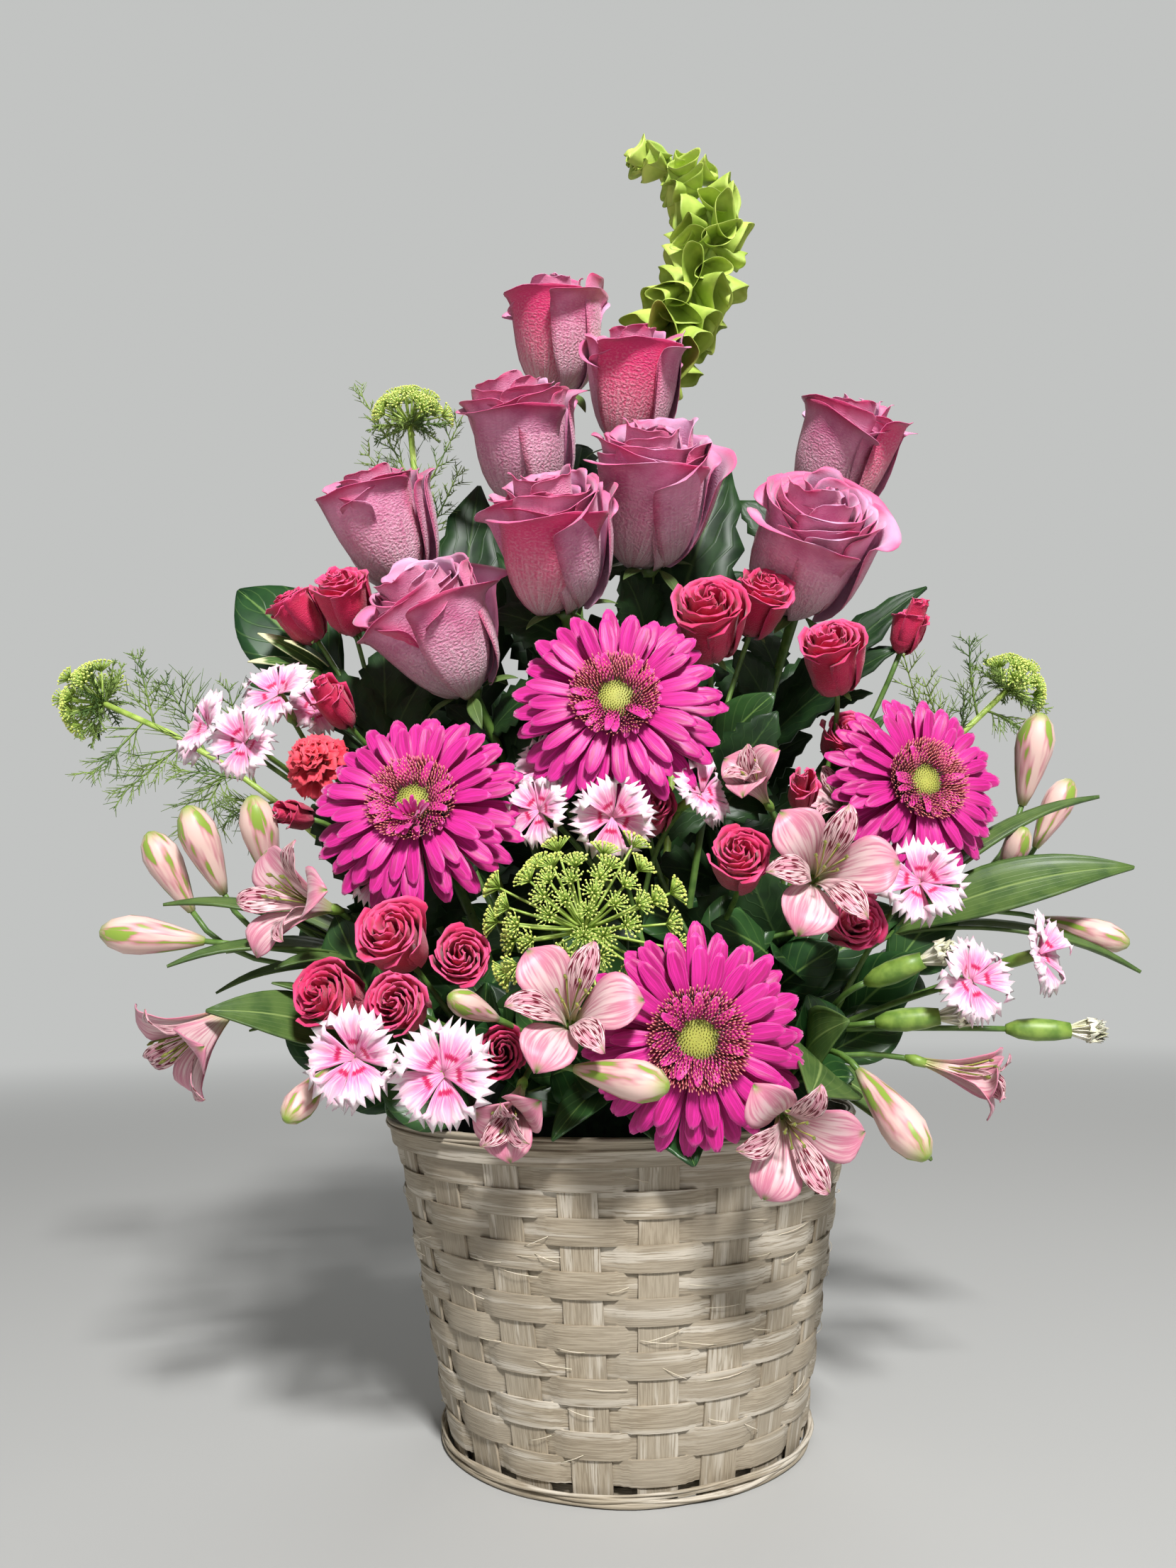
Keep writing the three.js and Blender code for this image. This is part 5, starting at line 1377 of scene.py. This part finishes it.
# %% Umbels and their feathers
UMBELS = {
    "umbel_middle": {"at": (-16, -104, 236), "side": -6, "lift": 14, "reach": 42, "rays": 48, "dome": 21,
                     "swing": -10, "stem": 2.4, "fronds": []},
    "umbel_upper_left": {"at": (-114, 12, 540), "side": -8, "lift": 75, "reach": 19, "rays": 22, "dome": 15,
                         "fronds": [
        (0.9, (-146, 6, 562), 13), (0.88, (-78, 4, 548), 12), (0.84, (-140, 0, 520), 14),
        (0.82, (-82, 0, 506), 14), (0.76, (-106, -4, 490), 12)]},
    "umbel_far_left": {"at": (-284, 8, 372), "side": -90, "lift": 22, "reach": 19, "rays": 24, "dome": 18,
                       "swing": -14, "fronds": [
        (0.92, (-284, -4, 326), 15), (0.84, (-268, 0, 316), 18), (0.76, (-226, -6, 296), 20),
        (0.8, (-250, 4, 386), 18), (0.9, (-262, 0, 400), 13), (0.72, (-238, -4, 330), 16),
        (0.7, (-212, 0, 382), 18), (0.66, (-206, -8, 306), 16)]},
    "umbel_right": {"at": (228, 20, 374), "side": 70, "lift": 40, "reach": 17, "rays": 18, "dome": 13,
                    "swing": 15, "fronds": [
        (0.92, (204, 10, 402), 14), (0.84, (176, 10, 378), 14), (0.88, (196, 4, 362), 14),
        (0.94, (232, 8, 344), 12), (0.8, (164, 8, 398), 14)]},
}
BRACTS = 11
BRACT_LENGTH = 26
CLUSTER_RADIUS = 7.4
CLUSTER_FLORETS = 30


def floret_cluster(name, seed):
    chance = random.Random(seed)
    stalks, parts = [], []
    for i in range(CLUSTER_FLORETS):
        share = math.sqrt((i + 0.5) / CLUSTER_FLORETS)
        end = around(i * GOLDEN_TURN, CLUSTER_RADIUS * share, 5.5 - 2.2 * share * share)
        stalks.append(([(0, 0, -1), end], [0.35, 0.3]))
        parts.append(added("ball", bpy.ops.mesh.primitive_ico_sphere_add, subdivisions=1,
                           radius=chance.uniform(0.45, 0.8) * MM, location=end * MM))
        parts[-1].data.materials.append(UMBEL_FLORET)
    return joined(name, [*parts, rods("pedicels", stalks, UMBEL_STEM, 0)])


def frond(root, tip, width, chance):
    """A feathery leaf: a rib, side ribs that leave it at a slant, and forked needles on each of them."""
    root, tip = Vector(root), Vector(tip)
    along = (tip - root).normalized()
    side = along.cross(Vector((0.1, -1, 0.2))).normalized()
    face = side.cross(along)
    sag = root.lerp(tip, 0.5) + face * chance.uniform(-3, 3) + side * chance.uniform(-3, 3)
    rib = bow(root, sag, tip, 8)
    threads = [(rib, tapered(9, 0.8, 0.3))]
    for i in range(1, 8):
        for way in (-1, 1):
            heading = along + side * way * chance.uniform(0.3, 1.1) + face * chance.uniform(-0.8, 0.8)
            heading.normalize()
            reach = width * chance.uniform(0.6, 1.5) * (1.15 - 0.09 * i)
            end = rib[i] + heading * reach
            sway = rib[i] + heading * 0.5 * reach + side * chance.uniform(-2, 2)
            threads.append((bow(rib[i], sway, end, 3), [0.42, 0.36, 0.3, 0.14]))
            for k in range(1, 4):
                foot = rib[i].lerp(end, 0.28 * k)
                for turned in (-1, 1):
                    aim = heading + side * turned * chance.uniform(0.2, 0.9)
                    aim += face * chance.uniform(-0.7, 0.7)
                    needle = aim.normalized() * chance.uniform(0.3, 0.7) * reach
                    threads.append(([foot, foot + needle], [0.3, 0.12]))
    return threads


CLUSTERS = [floret_cluster(f"floret_cluster_{k}", 90 + k) for k in range(2)]
print("a cluster has", len(CLUSTERS[0].data.polygons), "faces")

# %% [markdown]
# Building an umbel
# The rays spread by the golden angle over a dome, and each carries one cluster that looks outwards.
# Where an umbel has feathers, a ring of small ones stands under it too.

# %% Umbels in place
def build_umbel(name, umbel, seed):
    chance = random.Random(seed)
    axis = toward(umbel["side"], umbel["lift"])
    centre = Vector(umbel["at"])
    place = frame_at(centre, axis)
    path = stem_path(centre, axis, umbel.get("swing", 0))
    greens = [rods("stem", [(path, umbel.get("stem", LEAF_STEM))], UMBEL_STEM, 1)]
    rays, tips, needles = [], [], []
    for i in range(umbel["rays"]):
        share = math.sqrt((i + 0.5) / umbel["rays"])
        out = umbel["reach"] * share * chance.uniform(0.9, 1.06)
        angle = i * GOLDEN_TURN + chance.uniform(-0.2, 0.2)
        high = umbel["dome"] * (1.15 - share * share) * chance.uniform(0.72, 1.16)
        tip = around(angle, out, high)
        lean = Vector((0.6 * tip.x, 0.6 * tip.y, 0.35 * high))
        rib = [moved(place, point) for point in bow((0, 0, -0.5), lean, tip, 4)]
        rays.append((rib, tapered(5, 0.8, 0.55)))
        end = frame_at(tip, tip - lean, 50 * i, 0.66 + 0.34 * share)
        tips.append(twin(CLUSTERS[i % 2], place @ end, 0))
    greens.append(rods("ribs", rays, UMBEL_STEM, 0))
    for share, tip, width in umbel["fronds"]:
        needles += frond(path_at(path, share), tip, width, chance)
    if needles:
        for i in range(BRACTS):
            tip = moved(place, around(math.tau * i / BRACTS, BRACT_LENGTH, chance.uniform(-8, 6)))
            needles += frond(centre - axis * 2, tip, 5, chance)
        greens.append(rods("needles", needles, FEATHER, 0))
    keep(joined(f"{name}_florets", tips), name)
    keep(joined(f"{name}_greens", greens), None)


for index, (name, umbel) in enumerate(UMBELS.items()):
    build_umbel(name, umbel, 20 + index)
print("umbels", len(UMBELS))

# %% [markdown]
# Bells of Ireland
# The tall spike is set with green cups in whorls of five that get smaller towards the tip. A cup is a
# circle, extruded and widened five times. Six lobes round it are pushed out and in by turns, the
# whole is pressed flat like a folded shell, and a modifier gives it a wall.

# %% The cups and the spike
SPIKE = [(38, 46, 540), (33, 40, 585), (47, 32, 625), (70, 26, 664), (60, 22, 702), (24, 18, 716)]
WHORLS = 12
CUPS = 5
BUD_CUPS = 14
CUP_WIDTH = 39
CUP_FOOT = 1.6
CUP_RINGS = [(2.4, 3), (4.2, 6), (5.0, 8), (4.4, 8), (2.2, 6)]
LOBES = 6


def bell_pattern(name, seed):
    """A papery cup that opens along +Z, pressed flat and folded like a shell."""
    cup = added(name, bpy.ops.mesh.primitive_circle_add, vertices=14, radius=CUP_FOOT * MM, fill_type="NGON")
    with editing(cup):
        bpy.ops.mesh.select_all(action="SELECT")
        radius = CUP_FOOT
        for wider, higher in CUP_RINGS:
            size = (radius + wider) / radius
            radius += wider
            bpy.ops.mesh.extrude_region_move(TRANSFORM_OT_translate={"value": (0, 0, higher * MM)})
            stretch((size, size, 1))
        bpy.ops.mesh.delete(type="ONLY_FACE")
        top = max(corner.co.z for corner in bmesh.from_edit_mesh(cup.data).verts)
        for lobe in range(LOBES):
            way = (-1) ** lobe
            middle = math.tau * (lobe + 0.3 * seed) / LOBES
            pick(cup, lambda number, corner: corner.co.z > 0.35 * top
                 and math.cos(math.atan2(corner.co.y, corner.co.x) - middle) > 0.9)
            stretch((1 + 0.11 * way, 1 + 0.11 * way, 1), (0, 0, 1.6 * way))
        bpy.ops.mesh.select_all(action="SELECT")
        bpy.ops.transform.vertex_random(offset=1.3 * MM, uniform=1, normal=0, seed=seed)
        stretch((1, 0.48, 1))
        bpy.ops.mesh.normals_make_consistent(inside=False)
    return finish_sheet(cup, BELL, 0.3, 1)


def along_curve(points, share):
    """A point of the smooth curve through the given points, and its direction."""
    whole = min(share, 0.9999) * (len(points) - 1)
    k, t = int(whole), whole - int(whole)
    p = [Vector(points[min(max(k + d, 0), len(points) - 1)]) for d in (-1, 0, 1, 2)]
    a = (p[2] - p[0]) * 0.5
    b = (p[3] - p[1]) * 0.5
    rise = 3 * (p[2] - p[1]) - 2 * a - b
    fall = 2 * (p[1] - p[2]) + a + b
    return p[1] + a * t + rise * t * t + fall * t ** 3, (a + 2 * rise * t + 3 * fall * t * t).normalized()


BELLS = [bell_pattern(f"bell_pattern_{k}", k) for k in range(4)]
print("a cup has", len(BELLS[0].data.polygons), "faces")

# %% [markdown]
# Setting the cups
# Low cups hang and high ones look up. At the very tip they are still buds, crowded together. The
# stalk runs from the foam into the curve of the spike.

# %% Bells in place
cups = []
chance = random.Random(30)
for i in range(WHORLS):
    share = 0.3 + 0.64 * i / (WHORLS - 1)
    middle, along = along_curve(SPIKE, share)
    for k in range(CUPS):
        angle = math.tau * k / CUPS + 1.05 * i + chance.uniform(-0.3, 0.3)
        out = (Vector((math.cos(angle) - 0.5 * (1 - share), 0.8 * math.sin(angle) - 0.15, 3.0 * share - 2.3))
               + along * chance.uniform(-0.2, 0.3))
        size = (47 - 28 * share) * chance.uniform(0.75, 1.1) / CUP_WIDTH
        place = frame_at(middle, out, chance.uniform(0, 360), size)
        cups.append(twin(BELLS[(i + k) % 4], place @ Matrix.Diagonal((1, 1, 1.35 - 0.05 * i, 1)), 0))
end, along = along_curve(SPIKE, 1)
for i in range(BUD_CUPS):
    place = end - along * chance.uniform(0, 12) + Vector([chance.uniform(-3, 3) for _ in range(3)])
    out = along + Vector([chance.uniform(-0.9, 0.9) for _ in range(3)])
    cups.append(twin(BELLS[i % 4], frame_at(place, out, 70 * i, chance.uniform(0.14, 0.26)), 0))
lead = stem_path(SPIKE[0], Vector(SPIKE[1]) - Vector(SPIKE[0]), -20, 0.3)
spine = [*lead[:-1], *(along_curve(SPIKE, i / 24)[0] for i in range(25))]
stalk = rods("bell_stalk", [(spine, tapered(len(spine), 2.4, 1.2))], UMBEL_STEM, 2)
keep(joined("bell_cups", [*cups, stalk]), "bells_of_ireland")
print("cups", len(cups))

# %% [markdown]
# Leaves on stems of their own
# Broad leaves hang over the rim in front, a round glossy one stands at the left with a small pale
# edged sprig, and a screen of greens closes the back, where each blade has two smaller ones beside it.

# %% Broad leaves
FOLIAGE = {
    "broad_leaf_front": {"fork": (6, -84, 174), "blades": [
        ((26, -134, 142), 38, (0, -0.4, 1), "oval"), ((-30, -130, 152), 20, (0, -0.6, 1), "oval")]},
    "round_leaf_left": {"fork": (-150, 4, 378), "blades": [
        ((-206, -4, 432), 52, (0, -1, 0.2), "oval"), ((-196, -8, 376), 20, (0, -1, 0.3), "oval"),
        ((-186, -30, 398), 11, (0.3, -1, 0.4), "small"), ((-170, -36, 392), 10, (-0.2, -1, 0.6), "small"),
        ((-190, -32, 382), 11, (0, -1, 0.8), "small"), ((-168, -34, 374), 10, (0, -1, 0.2), "small")]},
    "back_greens": {"fork": (0, 70, 250), "blades": [
        ((0, 96, 440), 52, (0, 1, 0.2), "saw"), ((-84, 84, 410), 52, (0, 1, 0.2), "saw"),
        ((90, 90, 410), 52, (0, 1, 0.2), "saw"), ((-134, 84, 330), 52, (0, 1, 0.4), "oval"),
        ((138, 84, 330), 52, (0, 1, 0.4), "oval"), ((-110, 96, 220), 48, (0, 1, 0.6), "oval"),
        ((110, 96, 220), 48, (0, 1, 0.6), "oval"), ((0, 142, 200), 48, (0, 1, 0.6), "oval")]},
}

for name, plant in FOLIAGE.items():
    knot = Vector(plant["fork"])
    aim = (Vector(plant["blades"][0][0]) - knot).normalized()
    root = knot - aim * FORK_DEPTH
    parts = [rods("stem", [(stem_path(knot, aim), LEAF_STEM)], STEM, 1)]
    for k, (tip, width, face, kind) in enumerate(plant["blades"]):
        tip = Vector(tip)
        parts.append(leaf(kind, root, tip, width, face, 0.12 * (k % 3)))
        if name == "back_greens":
            side = (tip - root).cross(Vector(face)).normalized()
            for way in (-1, 1):
                end = root.lerp(tip, 0.8) + side * way * 0.75 * width
                parts.append(leaf(kind, root.lerp(tip, 0.45), end, 0.6 * width, face, 0.2))
    keep(joined(f"{name}_blades", parts), name)
print("foliage", len(FOLIAGE))

# %% [markdown]
# Leaves that fill the middle
# Between the blooms the arrangement is dark with the leaves of the stems themselves. They are set by
# chance along the stems, but never where they would lie inside a bloom or hide it from the front.
# Half a ring of low ones lies on the rim, from the right round the back to the left.

# %% Filling leaves
BLOOM_BALLS = [(Vector(r["at"]), 0.5 * ROSE_HEIGHT * r.get("size", 1)) for r in ROSES]
BLOOM_BALLS += [(Vector(g["at"]), 0.5 * g["width"]) for g in GERBERAS]
BLOOM_BALLS += [(Vector(at), 0.55 * width) for s in SPRAYS.values() for _, at, _, _, width in s["heads"]]
BLOOM_BALLS += [(Vector(u["at"]), u["reach"]) for u in UMBELS.values()]
ROSE_SEAT = 38
FILLING = 200
TRIES = 60 * FILLING
LOW_LEAVES = 16
LOW_ROOT = 56
HIGHEST_TIP = 560
SAW_ABOVE = 260
WIDEST = 205
REACH = (40, 62)
LEAF_WIDTH = (26, 38)
LOW_LEAF_WIDTH = (26, 36)
INSIDE_SHARE = 0.8
HIDING_SHARE = 0.85


def in_the_way(point):
    """True where a point lies in a bloom, or between the camera and a bloom."""
    eye = EYE / MM
    sight = (point - eye).normalized()
    for centre, radius in BLOOM_BALLS:
        if (point - centre).length < INSIDE_SHARE * radius:
            return True
        beside = (centre - eye) - sight * (centre - eye).dot(sight)
        if beside.length < HIDING_SHARE * radius and (point - eye).length < (centre - eye).length:
            return True
    return False


def filling_leaves(chance):
    paths = []
    for rose in ROSES:
        axis = toward(rose["side"], rose["lift"])
        paths.append(stem_path(Vector(rose["at"]) - axis * ROSE_SEAT, axis))
    paths += [stem_path(s["fork"], (0, 0, 1), s.get("swing", 0)) for s in SPRAYS.values()]
    parts = []
    for _ in range(TRIES):
        if len(parts) >= FILLING:
            break
        root = path_at(chance.choice(paths), chance.uniform(0.3, 0.95))
        side, lift = chance.uniform(-150, 150), chance.uniform(0, 60)
        tip = root + toward(side, lift) * chance.uniform(*REACH)
        edge = WIDEST - 0.2 * abs(tip.z - SAW_ABOVE)
        hidden = any(in_the_way(root.lerp(tip, t)) for t in (0.3, 0.6, 1))
        if hidden or abs(tip.x) > edge or tip.z > HIGHEST_TIP:
            continue
        parts.append(leaf("saw" if tip.z > SAW_ABOVE else "oval", root, tip, chance.uniform(*LEAF_WIDTH),
                          (chance.uniform(-0.5, 0.5), -1, 0.5), chance.uniform(0, 0.25)))
    for i in range(LOW_LEAVES):
        angle = math.radians(12 * i)
        tip = around(angle) * chance.uniform(98, 118) + Vector((0, 0, chance.uniform(166, 196)))
        root = around(angle, LOW_ROOT, foam_top_at(LOW_ROOT))
        parts.append(leaf("oval", root, tip, chance.uniform(*LOW_LEAF_WIDTH), tint=chance.uniform(0, 0.25)))
    return parts


filling = filling_leaves(random.Random(4))
keep(joined("filling_leaves", filling), None)
print("filling leaves", len(filling))

# %% [markdown]
# The basket
# The basket is a cone of splint, whitewashed so thinly that the grain shows. The grain runs along
# each splint: round the basket in a weaver and upward in a stake. So both kinds of wood come from one
# function, and only the direction of the noise differs.

# %% Basket sizes and wood
BASKET_HEIGHT = 150
FOOT_RADIUS = 86
RIM_RADIUS = 115
STAKES = 20
FIRST_STAKE = -83
ROWS = 13
LOWEST_ROW = 8
ROW_HEIGHT = (BASKET_HEIGHT - LOWEST_ROW) / ROWS
ROW_OVERLAP = 0.1
STRIP = 1.0
SWING = 1.35
CROWN = 0.5
INWARD = -2.0
STAKE_WIDTH = 17
STAKE_THICKNESS = 1.1
SMOOTH_BELOW = math.radians(40)
WAVE = 16
SQUARENESS = 2.2


def wall_radius(z):
    return FOOT_RADIUS + (RIM_RADIUS - FOOT_RADIUS) * z / BASKET_HEIGHT


def wood_material(name, round_scale, up_scale):
    """A small scale stretches the grain that way: round the basket, or upward."""
    look = Look(name, {"Roughness": 0.68})
    space = look.space()
    x, y, z = look.add("ShaderNodeSeparateXYZ", {0: space}).outputs
    reach = look.vector("LENGTH", look.vector("MULTIPLY", space, (1, 1, 0))[0])["Value"]
    run = look.times(look.math("ARCTAN2", y, x), 0.1)
    values = {0: look.times(run, round_scale), 1: look.times(z, up_scale), 2: look.times(reach, 300)}
    place = look.add("ShaderNodeCombineXYZ", values).outputs[0]
    grain = look.noise(place, 1, 5)
    wide = look.noise(look.vector("MULTIPLY", place, (0.12, 0.12, 0.12))[0], 1, 3)
    tone = look.spread(look.noise(space, 22, 2), 0.35, 0.7, 0, 0.55)
    washed = look.times(look.spread(wide, 0.5, 0.62), look.spread(grain, 0.35, 0.5))
    colour = look.layered((142, 129, 108), (look.spread(grain, 0.38, 0.6), (172, 159, 138)),
                          (tone, (166, 156, 139)), (look.times(washed, 0.6), (220, 212, 198)),
                          (look.tint(0.3), (150, 138, 120)))
    return look.finish(colour, grain, 0.5, 0.5)


WEAVER_WOOD = wood_material("weaver_wood", 70, 1500)
STAKE_WOOD = wood_material("stake_wood", 1500, 70)
print("rows", ROWS, "of", round(ROW_HEIGHT, 1), "mm")

# %% [markdown]
# Weavers
# Flat weavers run round the wall, over one stake and under the next, and each row starts one stake
# later than the row below. A weaver is an open cone band. One wave spans two stakes and has sixteen
# corners, and every sixteenth corner is pushed out or in by the same amount.

# %% Weavers
def open_band(name, low, high, outside, corners):
    """A strip round the basket with no thickness yet."""
    band = added(name, bpy.ops.mesh.primitive_cone_add, vertices=corners, end_fill_type="NOTHING",
                 radius1=(wall_radius(low) + outside) * MM, radius2=(wall_radius(high) + outside) * MM,
                 depth=(high - low) * MM, location=(0, 0, 0.5 * (low + high) * MM))
    band.data.materials.append(WEAVER_WOOD)
    return band


def thick_band(band, thickness, offset, tint):
    modified(band, "SOLIDIFY", thickness=thickness * MM, offset=offset)
    bpy.ops.object.shade_smooth_by_angle(angle=SMOOTH_BELOW)
    return set_tint(band, tint)


def weaver(row):
    """Row after row the weaver goes over the stakes that the row below went under."""
    low = LOWEST_ROW + row * ROW_HEIGHT - ROW_OVERLAP
    high = low + ROW_HEIGHT + 2 * ROW_OVERLAP
    middle = 0.5 * (low + high)
    radius = wall_radius(middle)
    band = open_band(f"weaver_{row}", low, high, INWARD, WAVE * STAKES // 2)

    def sixteenth(corner):
        """Where the corner stands in the wave over two stakes, in sixteenths."""
        angle = math.degrees(math.atan2(corner.co.y, corner.co.x)) - FIRST_STAKE
        return round((angle * STAKES / 360 + row) % 2 * WAVE / 2) % WAVE

    with editing(band):
        bpy.ops.mesh.select_all(action="SELECT")
        bpy.ops.mesh.subdivide(number_cuts=1)
        pick(band, lambda number, corner: abs(corner.co.z - middle * MM) < 1e-4)
        stretch((1 + CROWN / radius, 1 + CROWN / radius, 1))
        for part in range(WAVE):
            out = SWING * math.tanh(SQUARENESS * math.cos(math.tau * part / WAVE)) / math.tanh(SQUARENESS)
            size = 1 + out / (radius + INWARD)
            pick(band, lambda number, corner: sixteenth(corner) == part)
            stretch((size, size, 1))
    return thick_band(band, STRIP, 0, 0.5 + 0.5 * math.sin(2.4 * row))


weavers = [weaver(row) for row in range(ROWS)]
print("weavers", len(weavers), "with", sum(len(w.data.polygons) for w in weavers), "faces")

# %% [markdown]
# Stakes, rim and foot
# The stakes are flat strips that stand on the slope of the wall between the weavers. A hoop and thin
# strands of splint close the rim, and strands close the foot. Fine fibres lift off the wood here and
# there, as they do on rough splint.

# %% Stakes, hoops and stray fibres
chance = random.Random(12)
rim_low, rim_high = (v.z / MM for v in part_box("rim_hoop"))
foot_low, foot_high = (v.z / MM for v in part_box("foot_hoop"))
STRAYS = 110
STRAY_LENGTH = 24
STRAY_RADIUS = 110
STRAYS_FROM = 10
STRAND_STEPS = 96
RIM_STRANDS = [(rim_high - 1.3, 0.3, 5, 2.4, 1.0, 0.4), (rim_high - 3.4, 0.8, 4, 2.7, 0.8, 2.0),
               (rim_high - 5.2, 1.0, 3, 2.4, 0.7, 4.0)]
FOOT_STRANDS = [(1.7, 0.0, 1, 1.2, 1.45, 0.0), (4.6, 1.0, 5, 1.5, 1.2, 1.0),
                (3.6, 1.6, 4, 2.3, 0.8, 3.0), (5.4, 1.2, 3, 1.9, 0.6, 5.0)]


def stake(number):
    """A flat strip that follows the slope of the wall."""
    low, high = 0.6, BASKET_HEIGHT - 1
    middle = 0.5 * (low + high)
    strip = added(f"stake_{number}", bpy.ops.mesh.primitive_cube_add, size=1)
    bpy.ops.transform.resize(value=(STAKE_WIDTH * MM, STAKE_THICKNESS * MM, (high - low) * MM),
                             center_override=(0, 0, 0))
    bake()
    with editing(strip):
        bpy.ops.mesh.select_all(action="SELECT")
        bpy.ops.mesh.subdivide(number_cuts=2)
    slope = math.degrees(math.atan2(RIM_RADIUS - FOOT_RADIUS, BASKET_HEIGHT))
    place = turn(FIRST_STAKE + 360 * number / STAKES) @ shift(wall_radius(middle) + INWARD, 0, middle)
    strip.data.transform(place @ turn(slope, "Y") @ turn(-90))
    strip.data.materials.append(STAKE_WOOD)
    return set_tint(strip, chance.uniform(0, 1))


def stray(low, high):
    """A thin fibre that lifts off the splint, an arc close to the wall."""
    angle, z = chance.uniform(0, math.tau), chance.uniform(low, high)
    sweep = chance.uniform(0.4, 1) * STRAY_LENGTH / STRAY_RADIUS
    rise = chance.uniform(-0.25, 0.25) * STRAY_LENGTH
    points = []
    for t in (0, 0.25, 0.5, 0.75, 1):
        height = min(max(z + rise * t, low), high)
        points.append(around(angle + sweep * t, wall_radius(height) + 1.2 * math.sin(math.pi * t), height))
    return points, 0.16


def strand(z, wave, turns, outside, radius, phase):
    """A thin round splint laid round the wall, never quite level."""
    points, radii = [], []
    for k in range(STRAND_STEPS + 1):
        a = math.tau * k / STRAND_STEPS
        height = z + wave * math.sin(turns * a + phase)
        points.append(around(a, wall_radius(height) + outside + 0.4 * math.sin(7 * a + phase), height))
        radii.append(radius * (1 + 0.15 * math.sin(11 * a + 2 * phase)))
    return points, radii


stakes = [stake(k) for k in range(STAKES)]
fibres = rods("fibres", [stray(STRAYS_FROM, BASKET_HEIGHT - 3) for _ in range(STRAYS)], FIBRE, 0)
rim_hoop = thick_band(open_band("rim_outer", rim_low + 0.4, rim_high - 0.6, 2.0, 96), 1.1, -1, 0.1)
rim_strands = rods("rim_strands", [strand(*plan) for plan in RIM_STRANDS], WEAVER_WOOD, 1)
foot_strands = rods("foot_strands", [strand(*plan) for plan in FOOT_STRANDS], WEAVER_WOOD, 2)
keep(joined("basket_weave", [*weavers, *stakes, fibres]), "basket_wall")
keep(joined("rim_splints", [rim_hoop, rim_strands]), "rim_hoop")
keep(joined("foot_splints", [foot_strands]), "foot_hoop")
print("rim from", round(rim_low, 1), "to", round(rim_high, 1), "foot from", round(foot_low, 1),
      "to", round(foot_high, 1))

# %% [markdown]
# What is inside
# The liner, the foam and the base are hardly seen between the stems. They keep the solids' shape and
# get a black plastic, a wet dark foam and the wood of the wall.

# %% Liner, foam and base
DULL = {"inside": 0, "edge": 0.35, "finer": 4, "depth": 0.4}
INSIDES = {
    "liner": ("liner_plastic", mottled("liner_film", (24, 30, 24), (14, 18, 15), 0.3, 40, **DULL)),
    "foam": ("floral_foam", mottled("wet_foam", (28, 58, 34), (18, 40, 24), 0.8, 260, **DULL)),
    "basket_base": ("whitewashed_splint", WEAVER_WOOD),
}
for node, (slot, material) in INSIDES.items():
    piece = twin(bpy.data.objects[node])
    piece.name = f"{node}_skin"
    piece.data.materials.clear()
    piece.data.materials.append(material)
    keep(piece, node)
print("pieces", len(pieces_made))

# %% [markdown]
# Clearing the patterns
# The patterns were only moulds, so they go. The dressed arrangement must stay inside the solids'
# box.

# %% Clear the patterns
staying = {piece.name for piece in pieces_made} | set(frame["nodes"]) | {floor.name}
for thing in list(bpy.context.scene.objects):
    if thing.type == "MESH" and thing.name not in staying:
        bpy.data.objects.remove(thing)
